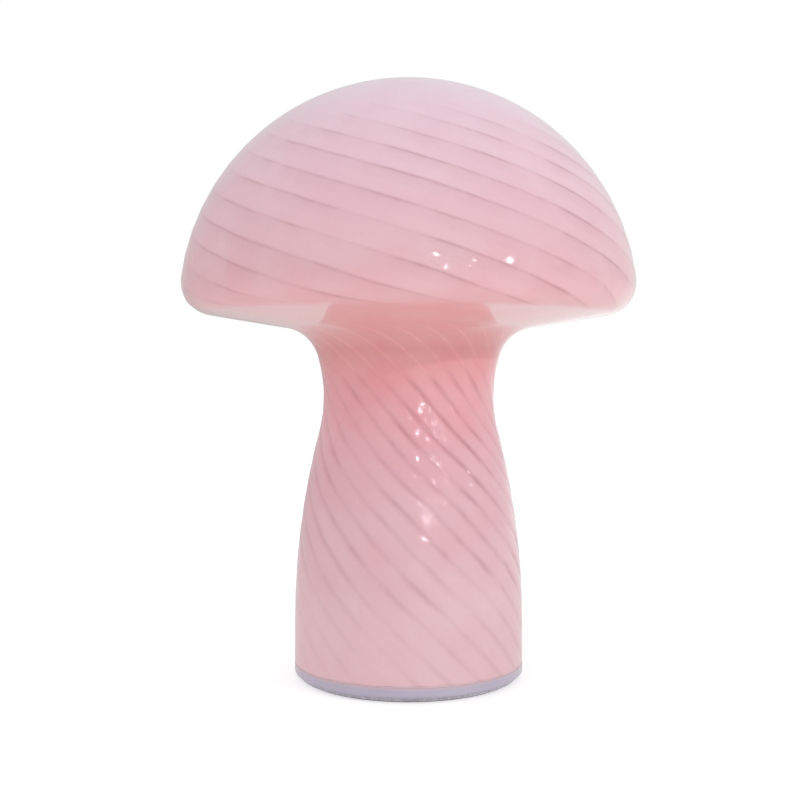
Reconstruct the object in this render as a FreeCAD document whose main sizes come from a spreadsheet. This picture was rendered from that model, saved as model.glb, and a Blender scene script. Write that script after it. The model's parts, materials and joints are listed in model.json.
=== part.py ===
import FreeCAD, Part
import math
import os
import re
import Sketcher

"""Mushroom table lamp: one blown-glass cap and stem on a rechargeable LED base.

Millimetres, +Z up, origin on the table under the middle of the stem. The
charging port, its light and the power button face +Y, the back of the lamp.
"""

Vector = FreeCAD.Vector

# Driving dimensions, in millimetres and degrees.
SIZES = {
    # Glass: the outline is a chain of tangent arcs and two straight stretches
    "total_height": 230.0,
    "cap_radius": 87.3,
    "cap_height": 78.5,
    "shoulder_radius": 27.1,
    "rim_radius": 11.4,
    "underside_angle": 9.2,
    "underside_fillet": 15.3,
    "neck_radius": 33.2,
    "neck_drop": 42.6,
    "throat_radius": 56.3,
    "stem_radius": 44.4,
    "stem_straight_level": 21.8,
    "glass_wall": 3.2,
    "glass_edge_round": 0.5,
    # Bottom plate and its foot
    "foot_thickness": 0.6,
    "foot_width": 5.0,
    "foot_margin": 1.2,
    "plate_inset": 2.2,
    "plate_thickness": 1.2,
    "spigot_height": 0.5,
    "spigot_clearance": 0.2,
    # Trim ring under the glass
    "ring_height": 4.0,
    "ring_rebate": 1.5,
    "ring_skin": 1.0,
    "ring_rounding": 1.4,
    "ring_edge_round": 0.3,
    "lip_thickness": 1.7,
    "lip_width": 3.0,
    "channel_angle": 57.0,
    "channel_height": 2.7,
    "gasket_thickness": 0.4,
    "gasket_inset": 0.3,
    # Drum that stands up inside the stem
    "drum_height": 34.0,
    "drum_wall": 2.0,
    "drum_clearance": 0.2,
    "deck_thickness": 2.0,
    "deck_rim_width": 1.2,
    "deck_rim_height": 1.6,
    "overcut": 1.0,
    "boss_radius": 3.2,
    "boss_inset": 5.0,
    "lead_hole_radius": 2.6,
    "lead_hole_offset": 21.0,
    # Silicone grip band between the drum and the glass
    "grip_thickness": 2.2,
    "grip_seat": 0.6,
    "grip_height": 11.0,
    "grip_rise": 4.5,
    "grip_groove": 0.9,
    "grip_rib": 2.0,
    # Light module on the deck
    "heat_plate_radius": 24.0,
    "heat_plate_thickness": 1.5,
    "led_board_radius": 19.0,
    "led_board_thickness": 1.6,
    "led_circle": 14.0,
    "led_length": 3.5,
    "led_width": 2.8,
    "led_thickness": 0.8,
    "led_screw_circle": 8.0,
    "dome_radius": 27.0,
    "dome_wall": 1.5,
    "dome_height": 25.0,
    "dome_flange": 2.0,
    "dome_crown_radius": 32.0,
    "dome_clearance": 0.15,
    # Control board, charging port, its light and the switch
    "port_rise": 1.85,
    "board_thickness": 0.8,
    "board_half_width": 16.5,
    "board_front": 12.0,
    "board_port_setback": 2.4,
    "board_port_left": 12.0,
    "board_switch_setback": 5.2,
    "board_notch_gap": 0.1,
    "board_port_right": 6.5,
    "board_step": 6.0,
    "board_screw_margin": 2.5,
    "board_screw_back": 8.0,
    "pillar_wall": 0.6,
    "port_width": 7.5,
    "port_height": 2.5,
    "port_chamfer": 0.9,
    "port_depth": 5.6,
    "port_shell": 0.3,
    "port_lap": 0.15,
    "port_gap": 0.1,
    "tongue_width": 4.6,
    "tongue_thickness": 0.6,
    "tongue_length": 3.4,
    "tongue_setback": 0.9,
    "indicator_radius": 0.8,
    "indicator_offset": 8.0,
    "indicator_flange": 0.4,
    "indicator_flange_depth": 0.7,
    "switch_width": 4.7,
    "switch_height": 1.65,
    "switch_depth": 3.4,
    "plunger_width": 2.2,
    "plunger_height": 0.9,
    "plunger_reach": 0.9,
    "plunger_hidden": 0.5,
    "plunger_play": 0.1,
    # Power button
    "button_offset": 12.0,
    "button_width": 7.0,
    "button_height": 2.2,
    "button_proud": 0.7,
    "button_travel": 0.5,
    "button_clearance": 0.12,
    "button_overhang": 1.2,
    "button_flange": 1.0,
    # Battery and its carrier
    "cell_radius": 9.2,
    "cell_end_gap": 4.5,
    "cell_level": 18.5,
    "cell_end_round": 0.6,
    "cradle_clearance": 0.1,
    "saddle_place": 20.0,
    "saddle_width": 7.0,
    "saddle_screw_margin": 1.0,
    "cradle_half_depth": 11.0,
    "rail_depth": 3.0,
    "cradle_arch_height": 5.0,
    "cradle_arch_half": 5.0,
    "clamp_wall": 1.6,
    "clamp_half_width": 5.0,
    "clamp_ear": 5.5,
    "clamp_screw_shift": 0.6,
    "tab_thickness": 0.2,
    "tab_width": 7.0,
    "tab_height": 12.0,
    # Screws: a plain thread-forming screw in two sizes
    "screw_radius": 1.25,
    "screw_head_radius": 2.5,
    "screw_head_height": 0.9,
    "screw_hole_clearance": 0.2,
    "screw_length": 7.0,
    "pilot_spare": 0.3,
    "small_screw_radius": 0.8,
    "small_head_radius": 1.6,
    "small_head_height": 0.8,
    "board_screw_length": 2.6,
    "cradle_screw_length": 4.5,
    "clamp_screw_length": 3.8,
    "led_screw_length": 4.9,
    "recess_share": 0.6,
    "recess_slot": 0.6,
    # Inner leads and their connectors
    "lead_radius": 0.7,
    "lead_spacing": 2.4,
    "plug_width": 6.0,
    "plug_depth": 4.5,
    "socket_height": 3.4,
    "plug_height": 2.6,
    "plug_margin": 0.4,
}

# Places worked out from the driving dimensions.
LEVELS = {
    "wide_level": "total_height - cap_height",
    "neck_level": "wide_level - neck_drop",
    "ring_bottom": "foot_thickness + plate_thickness",
    "spigot_top": "ring_bottom + spigot_height",
    "head_seat": "foot_thickness + screw_head_height",
    "lip_top": "spigot_top + lip_thickness",
    "ring_top": "ring_bottom + ring_height",
    "glass_bottom": "ring_top + gasket_thickness",
    "channel_top": "spigot_top + channel_height",
    "port_level": "ring_bottom + port_rise",
    "board_bottom": "port_level - board_thickness / 2",
    "board_top": "port_level + board_thickness / 2",
    "deck_top": "lip_top + drum_height",
    "deck_bottom": "deck_top - deck_thickness",
    "heat_plate_top": "deck_top + heat_plate_thickness",
    "led_board_top": "heat_plate_top + led_board_thickness",
    "plate_radius": "stem_radius - plate_inset",
    "foot_radius": "plate_radius - foot_margin",
    "glass_bore": "stem_radius - glass_wall",
    "drum_radius": "glass_bore - grip_thickness",
    "drum_bore": "drum_radius - drum_wall",
    "ring_bore": "drum_radius + drum_clearance",
    "rebate_radius": "drum_radius + ring_rebate",
    "lip_radius": "drum_radius - lip_width",
    "spigot_radius": "rebate_radius - spigot_clearance",
    "skin_radius": "stem_radius - ring_skin",
    "boss_circle": "drum_bore - boss_inset",
    "cell_length": "2 * (drum_bore - cell_end_gap)",
    "board_port_edge": "skin_radius - board_port_setback",
    "board_switch_edge": "skin_radius - board_switch_setback",
    "grip_bottom": "ring_top + grip_rise",
    "grip_top": "grip_bottom + grip_height",
    "dome_seat_radius": "dome_radius + dome_flange",
    "deck_rim_radius": "dome_seat_radius + dome_clearance",
    "port_front": "sqrt(skin_radius ^ 2 - (port_width / 2) ^ 2) - port_gap",
    "port_back": "port_front - port_depth",
    "indicator_reach": "indicator_offset + indicator_radius + indicator_flange",
    "indicator_seat": "sqrt(skin_radius ^ 2 - indicator_reach ^ 2) - port_gap",
    "flange_end": "button_offset + button_width / 2 + button_overhang",
    "flange_front": "sqrt(skin_radius ^ 2 - flange_end ^ 2) - port_gap",
    "flange_back": "flange_front - button_flange",
    "switch_front": "flange_back - plunger_reach",
    "switch_back": "switch_front - switch_depth",
    "saddle_end": "saddle_place + saddle_width",
    "cradle_seat": "spigot_top",
    "clamp_radius": "cell_radius + cradle_clearance + clamp_wall",
    "ear_end": "cradle_half_depth + clamp_ear",
    "socket_level": "board_top + socket_height",
    "plug_top": "socket_level + plug_height",
}

# Chips and small parts on the control board: middle x, middle's distance from the board's
# back edge at the port, width, depth, height.
BOARD_COMPONENTS = {
    "charger_chip": (-9.0, 12.5, 5.0, 4.0, 1.4),
    "driver_chip": (9.5, 14.5, 4.0, 4.0, 1.0),
    "controller_chip": (-9.0, 38.0, 6.5, 5.3, 1.2),
    "inductor": (1.0, 14.0, 5.0, 5.0, 2.6),
    "input_capacitor": (-2.6, 7.8, 3.2, 1.6, 1.5),
    "output_capacitor": (9.5, 19.5, 3.2, 1.6, 1.5),
    "sense_resistor": (-9.0, 19.0, 3.2, 1.6, 0.6),
    "timing_resistor": (0.0, 38.0, 2.0, 1.2, 0.5),
}
INDICATOR_CHIP = (1.6, 0.8, 0.6)
LED_COUNT = 12
LED_SCREW_COUNT = 3
# Sockets: middle x, and middle's distance from the same edge.
PLUG_PLACES = {"battery": (10.0, 25.0), "led": (-10.0, 25.0)}

# Corners of the leads, as distances beyond the pieces they pass.
TAB_LEAD_RISE = 4.0
CELL_PASS = 2.0
SADDLE_PASS = 4.0
RED_SIDE_PASS = 7.0
BLACK_SIDE_PASS = 4.0
BLACK_SLANT = 2.5
BLACK_CROSSING = (-12.0, 2.0)
PLUG_RISE = 6.0
RED_PLUG_RISE = 4.5
RED_SLANT = 3.0
LED_PLUG_RISE = 4.5
DECK_APPROACH = 6.0
LED_PAD_INSET = 3.0
BEND_SHARE = 0.45

doc = FreeCAD.newDocument("MushroomLamp")


# ---------------------------------------------------------------- sheet and formulas

def formula(text):
    """Turn a sum of size names into an expression on the sheet and the level set."""
    def link(match):
        word = match.group(0)
        if word in SIZES:
            return "Sizes." + word
        if word in LEVELS:
            return "Levels." + word
        return word
    return re.sub(r"[a-z][a-z_]*", link, text)


def make_sheet():
    sheet = doc.addObject("Spreadsheet::Sheet", "Sizes")
    for row, (alias, value) in enumerate(SIZES.items(), start=1):
        sheet.set(f"A{row}", alias)
        sheet.set(f"B{row}", str(value))
        sheet.setAlias(f"B{row}", alias)
    doc.recompute()
    return sheet


def make_levels():
    levels = doc.addObject("App::VarSet", "Levels")
    for name, text in LEVELS.items():
        levels.addProperty("App::PropertyFloat", name)
        levels.setExpression(name, formula(text))
    doc.recompute()
    return levels


sizes = make_sheet()
levels = make_levels()


def bind(item, prop, text):
    item.setExpression(prop, formula(text))


# ---------------------------------------------------------------- sketch helpers

def title(label):
    return "".join(word.capitalize() for word in label.split("_"))


def new_body(label):
    body = doc.addObject("PartDesign::Body", title(label))
    body.Label = label
    return body


def new_sketch(body, name, role="XY_Plane", offset=None):
    """A sketch on one of the body's own planes; offset runs along the plane's normal."""
    plane = [item for item in body.Origin.OriginFeatures if item.Role == role][0]
    sketch = body.newObject("Sketcher::SketchObject", title(body.Label) + name)
    sketch.AttachmentSupport = [(plane, "")]
    sketch.MapMode = "FlatFace"
    if offset:
        bind(sketch, "AttachmentOffset.Base.z", offset)
    return sketch


def fix(sketch, kind, where, value, text):
    """Add one dimension and bind it to the sheet."""
    index = sketch.addConstraint(Sketcher.Constraint(kind, *where, value))
    bind(sketch, f"Constraints[{index}]", text)
    return index


def fix_point(sketch, element, point, x_text, y_text, start):
    if x_text == "0":
        sketch.addConstraint(Sketcher.Constraint("PointOnObject", element, point, -2))
    else:
        fix(sketch, "DistanceX", (-1, 1, element, point), start.x, x_text)
    if y_text == "0":
        sketch.addConstraint(Sketcher.Constraint("PointOnObject", element, point, -1))
    else:
        fix(sketch, "DistanceY", (-1, 1, element, point), start.y, y_text)


def outline(sketch, corners):
    """Closed outline of straight lines. The lines start as a round and the sizes place them."""
    first = sketch.GeometryCount
    count = len(corners)
    turn = 2 * math.pi / count
    start = [Vector(50 + 10 * math.cos(turn * i), 50 + 10 * math.sin(turn * i), 0) for i in range(count)]
    for i in range(count):
        sketch.addGeometry(Part.LineSegment(start[i], start[(i + 1) % count]))
    for i in range(count):
        sketch.addConstraint(Sketcher.Constraint("Coincident", first + i, 2, first + (i + 1) % count, 1))
    for i, (x_text, y_text) in enumerate(corners):
        fix_point(sketch, first + i, 1, x_text, y_text, start[i])


def rectangle(sketch, x_low, x_high, y_low, y_high):
    outline(sketch, [(x_low, y_low), (x_high, y_low), (x_high, y_high), (x_low, y_high)])


def circle(sketch, x_text, y_text, radius_text):
    index = sketch.GeometryCount
    sketch.addGeometry(Part.Circle(Vector(20, 20, 0), Vector(0, 0, 1), 5))
    fix(sketch, "Radius", (index,), 5, radius_text)
    fix_point(sketch, index, 3, x_text, y_text, Vector(20, 20, 0))


# ---------------------------------------------------------------- feature helpers

def turn_solid(body, sketch):
    """Turn a half section, drawn on XZ, a full round about Z."""
    feature = body.newObject("PartDesign::Revolution", title(body.Label) + "Turned")
    feature.Profile = sketch
    feature.ReferenceAxis = (sketch, ["V_Axis"])
    feature.Angle = 360
    return feature


def turned_body(label, corners):
    body = new_body(label)
    section = new_sketch(body, "Section", "XZ_Plane")
    outline(section, corners)
    turn_solid(body, section)
    return body


def groove(body, sketch, name, angle_text=None):
    """Cut a turned groove: all round, or a sector centred on the sketch's plane."""
    feature = body.newObject("PartDesign::Groove", title(body.Label) + name)
    feature.Profile = sketch
    feature.ReferenceAxis = (sketch, ["V_Axis"])
    feature.Angle = 360
    if angle_text:
        feature.Midplane = True
        bind(feature, "Angle", angle_text)
    return feature


def pad(body, sketch, name, length_text, flip=False):
    feature = body.newObject("PartDesign::Pad", title(body.Label) + name)
    feature.Profile = sketch
    feature.Reversed = flip
    bind(feature, "Length", length_text)
    return feature


def pocket(body, sketch, name, length_text, up=False):
    feature = body.newObject("PartDesign::Pocket", title(body.Label) + name)
    feature.Profile = sketch
    feature.Reversed = up
    bind(feature, "Length", length_text)
    return feature


def ring_edges(shape, radius, level):
    """Names of the full-circle edges of one radius at one level."""
    found = []
    for number, edge in enumerate(shape.Edges, start=1):
        if edge.Degenerated:
            continue
        round_edge = isinstance(edge.Curve, Part.Circle) and abs(edge.Curve.Radius - radius) < 1e-4
        if round_edge and abs(edge.Curve.Center.z - level) < 1e-4:
            found.append(f"Edge{number}")
    return found


def round_edges(body, name, edges_at, radius_text):
    doc.recompute()
    base = body.Tip
    names = []
    for radius, level in edges_at:
        names += ring_edges(base.Shape, radius, level)
    feature = body.newObject("PartDesign::Fillet", title(body.Label) + name)
    feature.Base = (base, names)
    bind(feature, "Radius", radius_text)
    return feature


def polar(body, sketch, originals, count):
    feature = body.newObject("PartDesign::PolarPattern", title(body.Label) + "Around")
    feature.Originals = originals
    feature.Axis = (sketch, ["N_Axis"])
    feature.Angle = 360
    feature.Occurrences = count
    body.Tip = feature
    return feature


def block(name, x_low, x_high, y_low, y_high, z_low, z_high):
    """A plain box between two corners, for use in booleans."""
    box = doc.addObject("Part::Box", name)
    for axis, low, high, side in (("x", x_low, x_high, "Length"), ("y", y_low, y_high, "Width"),
                                  ("z", z_low, z_high, "Height")):
        bind(box, f"Placement.Base.{axis}", low)
        bind(box, side, f"({high}) - ({low})")
    return box


def rod(name, axis, low, high, centre, radius_text):
    """A plain cylinder along X, Y or Z from low to high; centre holds the two other coordinates."""
    item = doc.addObject("Part::Cylinder", name)
    turn = {"x": FreeCAD.Rotation(Vector(0, 1, 0), 90), "y": FreeCAD.Rotation(Vector(1, 0, 0), -90),
            "z": FreeCAD.Rotation()}[axis]
    item.Placement = FreeCAD.Placement(Vector(), turn)
    others = [letter for letter in "xyz" if letter != axis]
    bind(item, f"Placement.Base.{axis}", low)
    for letter, text in zip(others, centre):
        bind(item, f"Placement.Base.{letter}", text)
    bind(item, "Radius", radius_text)
    bind(item, "Height", f"({high}) - ({low})")
    return item


def boolean(kind, name, base, tool):
    item = doc.addObject(f"Part::{kind}", name)
    item.Base = base
    item.Tool = tool
    return item


def fuse_all(name, shapes):
    item = doc.addObject("Part::MultiFuse", name)
    item.Shapes = shapes
    return item


# ---------------------------------------------------------------- glass

def mushroom_arcs(wall):
    """Centres, radii and end angles of the outline's six arcs, moved inwards by the wall."""
    height = sizes.total_height - wall
    side = sizes.cap_radius
    wide_level = levels.wide_level
    shoulder = sizes.shoulder_radius
    rim = sizes.rim_radius
    slope = math.radians(sizes.underside_angle)
    throat = sizes.throat_radius
    fillet = sizes.underside_fillet
    rise = sizes.cap_height
    crown = ((side - shoulder) ** 2 + rise ** 2 - shoulder ** 2) / (2 * (rise - shoulder))
    crown_centre = Vector(0, sizes.total_height - crown, 0)
    shoulder_centre = Vector(side - shoulder, wide_level, 0)
    rim_centre = Vector(side - rim, wide_level, 0)
    across = shoulder_centre - crown_centre
    crown_end = math.atan2(across.y, across.x)
    rim_end = slope - math.pi / 2
    under = Vector(math.cos(rim_end), math.sin(rim_end), 0)
    inward = Vector(-math.cos(slope), -math.sin(slope), 0)
    line_start = rim_centre + under * rim
    throat_centre = Vector(sizes.neck_radius + throat, levels.neck_level, 0)
    away = line_start + under * fillet - throat_centre
    half = away.dot(inward)
    run = -half + math.sqrt(half ** 2 - away.dot(away) + (throat - fillet) ** 2)
    fillet_centre = line_start + under * fillet + inward * run
    belly_gap = sizes.neck_radius + throat - sizes.stem_radius
    drop = levels.neck_level - sizes.stem_straight_level
    belly = (belly_gap ** 2 + drop ** 2 - throat ** 2) / (2 * (throat - belly_gap))
    belly_centre = Vector(sizes.stem_radius - belly, sizes.stem_straight_level, 0)
    fillet_side = fillet_centre - throat_centre
    fillet_turn = math.atan2(fillet_side.y, fillet_side.x)
    belly_side = throat_centre - belly_centre
    belly_turn = math.atan2(belly_side.y, belly_side.x)
    arcs = [
        (crown_centre, crown - wall, crown_end, math.pi / 2),
        (shoulder_centre, shoulder - wall, 0, crown_end),
        (rim_centre, rim - wall, rim_end, 0),
        (fillet_centre, fillet + wall, rim_end + math.pi, fillet_turn),
        (throat_centre, throat + wall, fillet_turn, belly_turn + math.pi),
        (belly_centre, belly - wall, 0, belly_turn),
    ]
    return arcs


def mushroom_outline(sketch, wall_text, wall):
    """The closed half outline: crown, shoulder, rim, underside, fillet, throat, belly and
    straight foot, then back along the bottom and up the axis. Every joint is tangent."""
    arcs = mushroom_arcs(wall)
    bottom = levels.glass_bottom
    straight = sizes.stem_radius - wall
    for centre, radius, low, high in arcs:
        sketch.addGeometry(Part.ArcOfCircle(Part.Circle(centre, Vector(0, 0, 1), radius), low, high))
    crown, shoulder, rim, fillet, throat, belly = range(6)
    underside, foot, floor, axis = range(6, 10)

    def end_of(arc, angle):
        centre, radius, low, high = arcs[arc]
        return centre + Vector(math.cos(angle), math.sin(angle), 0) * radius

    sketch.addGeometry(Part.LineSegment(end_of(rim, arcs[rim][2]), end_of(fillet, arcs[fillet][2])))
    sketch.addGeometry(Part.LineSegment(end_of(belly, 0), Vector(straight, bottom, 0)))
    sketch.addGeometry(Part.LineSegment(Vector(straight, bottom, 0), Vector(0, bottom, 0)))
    sketch.addGeometry(Part.LineSegment(Vector(0, bottom, 0), Vector(0, sizes.total_height - wall, 0)))
    joints = [(crown, 1, shoulder, 2), (shoulder, 1, rim, 2), (rim, 1, underside, 1),
              (underside, 2, fillet, 1), (fillet, 2, throat, 1), (throat, 2, belly, 2),
              (belly, 1, foot, 1)]
    for joint in joints:
        sketch.addConstraint(Sketcher.Constraint("Tangent", *joint))
    for corner in ((foot, 2, floor, 1), (floor, 2, axis, 1), (axis, 2, crown, 2)):
        sketch.addConstraint(Sketcher.Constraint("Coincident", *corner))
    # The crown's middle and top are both on the axis
    sketch.addConstraint(Sketcher.Constraint("PointOnObject", crown, 3, -2))
    sketch.addConstraint(Sketcher.Constraint("PointOnObject", crown, 2, -2))
    fix(sketch, "DistanceY", (-1, 1, crown, 2), sizes.total_height - wall, "total_height" + wall_text)
    # The widest point, between shoulder and rim
    sketch.addConstraint(Sketcher.Constraint("Horizontal", shoulder, 3, shoulder, 1))
    fix(sketch, "Radius", (shoulder,), sizes.shoulder_radius - wall, "shoulder_radius" + wall_text)
    fix(sketch, "DistanceX", (-1, 1, shoulder, 1), sizes.cap_radius - wall, "cap_radius" + wall_text)
    fix(sketch, "DistanceY", (-1, 1, shoulder, 1), levels.wide_level, "wide_level")
    fix(sketch, "Radius", (rim,), sizes.rim_radius - wall, "rim_radius" + wall_text)
    # The underside falls towards the stem
    slope = sketch.addConstraint(Sketcher.Constraint("Angle", -1, 1, underside, 2,
                                                     math.radians(sizes.underside_angle)))
    bind(sketch, f"Constraints[{slope}]", "underside_angle")
    # Neck and stem
    outer = wall_text.replace("-", "+")
    fix(sketch, "Radius", (fillet,), sizes.underside_fillet + wall, "underside_fillet" + outer)
    fix(sketch, "Radius", (throat,), sizes.throat_radius + wall, "throat_radius" + outer)
    fix(sketch, "DistanceX", (-1, 1, throat, 3), sizes.neck_radius + sizes.throat_radius,
        "neck_radius + throat_radius")
    fix(sketch, "DistanceY", (-1, 1, throat, 3), levels.neck_level, "neck_level")
    sketch.addConstraint(Sketcher.Constraint("Vertical", foot))
    fix_point(sketch, foot, 2, "stem_radius" + wall_text, "glass_bottom", Vector(straight, bottom, 0))
    fix(sketch, "DistanceY", (-1, 1, foot, 1), sizes.stem_straight_level, "stem_straight_level")
    sketch.addConstraint(Sketcher.Constraint("Horizontal", floor))
    sketch.addConstraint(Sketcher.Constraint("Vertical", axis))


def glass_body():
    body = new_body("glass_body")
    outside = new_sketch(body, "Outside", "XZ_Plane")
    mushroom_outline(outside, "", 0.0)
    turn_solid(body, outside)
    inside = new_sketch(body, "Inside", "XZ_Plane")
    mushroom_outline(inside, " - glass_wall", sizes.glass_wall)
    groove(body, inside, "Hollow")
    rims = [(sizes.stem_radius, levels.glass_bottom), (levels.glass_bore, levels.glass_bottom)]
    round_edges(body, "GroundEdge", rims, "glass_edge_round")
    return body


# ---------------------------------------------------------------- base

def channel_sector(body, top_text):
    """The sector at the back that the port, its light and the button share."""
    section = new_sketch(body, "ChannelSection", "YZ_Plane")
    rectangle(section, "lip_radius - drum_wall", "skin_radius", "spigot_top", top_text)
    groove(body, section, "Channel", "channel_angle")


def port_outline(sketch, inset):
    """The charging port's shape, flat on top and narrower below, drawn smaller by the inset."""
    half = f"(port_width / 2 - {inset})"
    top = f"port_level + port_height / 2 - {inset}"
    low = f"port_level - port_height / 2 + {inset}"
    waist = "port_level + port_height / 2 - port_chamfer - port_chamfer"
    toe = f"({half} - port_chamfer + {inset})"
    outline(sketch, [("-" + toe, low), (toe, low), (half, waist), (half, top), ("-" + half, top),
                     ("-" + half, waist)])


def stadium_slot(sketch, x_text, width_text, height_text):
    """A slot with round ends, lying level at the port's height."""
    first = sketch.GeometryCount
    radius = 1.0
    left, right, level = Vector(8, 3, 0), Vector(14, 3, 0), Vector(0, radius, 0)
    quarter = math.pi / 2
    sketch.addGeometry(Part.LineSegment(left - level, right - level))
    sketch.addGeometry(Part.ArcOfCircle(Part.Circle(right, Vector(0, 0, 1), radius), -quarter, quarter))
    sketch.addGeometry(Part.LineSegment(right + level, left + level))
    sketch.addGeometry(Part.ArcOfCircle(Part.Circle(left, Vector(0, 0, 1), radius), quarter, 3 * quarter))
    for joint in ((0, 2, 1, 1), (1, 2, 2, 1), (2, 2, 3, 1), (3, 2, 0, 1)):
        a, a_end, b, b_end = joint
        sketch.addConstraint(Sketcher.Constraint("Tangent", first + a, a_end, first + b, b_end))
    sketch.addConstraint(Sketcher.Constraint("Horizontal", first))
    sketch.addConstraint(Sketcher.Constraint("Horizontal", first + 2))
    fix(sketch, "Radius", (first + 1,), radius, f"({height_text}) / 2")
    run = f"({width_text} - ({height_text})) / 2"
    fix_point(sketch, first + 1, 3, f"{x_text} + {run}", "port_level", right)
    fix(sketch, "DistanceX", (-1, 1, first + 3, 3), left.x, f"{x_text} - {run}")


def base_ring():
    """Trim ring: carries the glass, grips the drum's foot over an inner lip, hides the port board."""
    body = turned_body("base_ring", [
        ("rebate_radius", "ring_bottom"), ("stem_radius", "ring_bottom"), ("stem_radius", "ring_top"),
        ("ring_bore", "ring_top"), ("ring_bore", "lip_top"), ("lip_radius", "lip_top"),
        ("lip_radius", "spigot_top"), ("rebate_radius", "spigot_top")])
    round_edges(body, "LowerEdge", [(sizes.stem_radius, levels.ring_bottom)], "ring_rounding")
    round_edges(body, "UpperEdge", [(sizes.stem_radius, levels.ring_top)], "ring_edge_round")
    channel_sector(body, "channel_top")
    windows = new_sketch(body, "Windows", "XZ_Plane")
    port_outline(windows, "port_lap")
    stadium_slot(windows, "button_offset", "button_width + 2 * button_clearance",
                 "button_height + 2 * button_clearance")
    circle(windows, "-indicator_offset", "port_level", "indicator_radius")
    pocket(body, windows, "WindowCut", "stem_radius + overcut")
    return body


def glass_gasket():
    return turned_body("glass_gasket", [
        ("glass_bore", "ring_top"), ("stem_radius - gasket_inset", "ring_top"),
        ("stem_radius - gasket_inset", "glass_bottom"), ("glass_bore", "glass_bottom")])


def grip_band():
    """Ribbed band in the drum's seat; its ribs press on the glass."""
    inner = "drum_radius - grip_seat"
    valley = "glass_bore - grip_groove"
    corners = [(inner, "grip_bottom")]
    rib_count = 3
    for rib in range(rib_count):
        share = f"(grip_height - grip_rib) * {rib} / {rib_count - 1}"
        low = f"grip_bottom + {share}"
        corners.append(("glass_bore", low))
        corners.append(("glass_bore", f"{low} + grip_rib"))
        if rib < rib_count - 1:
            following = f"grip_bottom + (grip_height - grip_rib) * {rib + 1} / {rib_count - 1}"
            corners.append((valley, f"{low} + grip_rib"))
            corners.append((valley, following))
    corners.append((inner, "grip_top"))
    return turned_body("grip_band", corners)


def boss_spots():
    """The four base screws, at 45 degrees to the lamp's axes."""
    along = "boss_circle * sqrt(0.5)"
    return [(along, along), ("-" + along, along), ("-" + along, "-" + along), (along, "-" + along)]


def base_drum():
    """Moulded drum inside the stem: wall, deck, dome seat and four screw bosses."""
    body = turned_body("base_drum", [
        ("drum_bore", "lip_top"), ("drum_radius", "lip_top"), ("drum_radius", "grip_bottom"),
        ("drum_radius - grip_seat", "grip_bottom"), ("drum_radius - grip_seat", "grip_top"),
        ("drum_radius", "grip_top"), ("drum_radius", "deck_top"),
        ("deck_rim_radius + deck_rim_width", "deck_top"),
        ("deck_rim_radius + deck_rim_width", "deck_top + deck_rim_height"),
        ("deck_rim_radius", "deck_top + deck_rim_height"), ("deck_rim_radius", "deck_top"),
        ("0", "deck_top"), ("0", "deck_bottom"), ("drum_bore", "deck_bottom")])
    round_edges(body, "Shoulder", [(levels.drum_radius, levels.deck_top)], "drum_wall / 2")
    bosses = new_sketch(body, "Bosses", "XY_Plane", "spigot_top")
    for x_text, y_text in boss_spots():
        circle(bosses, x_text, y_text, "boss_radius")
    pad(body, bosses, "BossPad", "deck_bottom - spigot_top")
    pilots = new_sketch(body, "Pilots", "XY_Plane", "spigot_top")
    for x_text, y_text in boss_spots():
        circle(pilots, x_text, y_text, "screw_radius")
    pocket(body, pilots, "PilotCut", "screw_length - spigot_top + head_seat + pilot_spare", up=True)
    channel_sector(body, "channel_top")
    holes = new_sketch(body, "DeckHoles", "XY_Plane", "deck_top")
    circle(holes, "0", "lead_hole_offset", "lead_hole_radius")
    for x_text, y_text in led_screw_spots():
        circle(holes, x_text, y_text, "small_screw_radius")
    pocket(body, holes, "DeckHoleCut", "deck_thickness + overcut")
    return body


def cradle_spots():
    x_text = "(saddle_place + saddle_width / 2)"
    y_text = "(cradle_half_depth - small_head_radius - saddle_screw_margin)"
    return [(x_text, y_text), ("-" + x_text, y_text), ("-" + x_text, "-" + y_text), (x_text, "-" + y_text)]


def board_spots():
    x_text = "(board_half_width - board_screw_margin)"
    front = "-(board_front - board_screw_margin)"
    back = "(board_switch_edge - board_screw_back)"
    return [(x_text, front), ("-" + x_text, front), ("-" + x_text, back), (x_text, back)]


def bottom_plate():
    """Screwed-on plate: a raised spigot centres it in the ring and carries the board."""
    body = turned_body("bottom_plate", [
        ("0", "foot_thickness"), ("plate_radius", "foot_thickness"), ("plate_radius", "ring_bottom"),
        ("spigot_radius", "ring_bottom"), ("spigot_radius", "spigot_top"), ("0", "spigot_top")])
    pillars = new_sketch(body, "Pillars", "XY_Plane", "spigot_top")
    for x_text, y_text in board_spots():
        circle(pillars, x_text, y_text, "small_head_radius + pillar_wall")
    pad(body, pillars, "PillarPad", "board_bottom - spigot_top")
    pilots = new_sketch(body, "BoardPilots", "XY_Plane", "board_bottom")
    for x_text, y_text in board_spots():
        circle(pilots, x_text, y_text, "small_screw_radius")
    pocket(body, pilots, "BoardPilotCut", "board_screw_length - board_thickness + pilot_spare")
    holes = new_sketch(body, "ScrewHoles", "XY_Plane", "foot_thickness")
    for x_text, y_text in boss_spots():
        circle(holes, x_text, y_text, "screw_radius + screw_hole_clearance")
    for x_text, y_text in cradle_spots():
        circle(holes, x_text, y_text, "small_screw_radius + screw_hole_clearance")
    pocket(body, holes, "ScrewHoleCut", "spigot_top", up=True)
    sinks = new_sketch(body, "HeadSinks", "XY_Plane", "foot_thickness")
    for x_text, y_text in boss_spots():
        circle(sinks, x_text, y_text, "screw_head_radius + screw_hole_clearance")
    for x_text, y_text in cradle_spots():
        circle(sinks, x_text, y_text, "small_head_radius + screw_hole_clearance")
    pocket(body, sinks, "HeadSinkCut", "screw_head_height", up=True)
    return body


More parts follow.
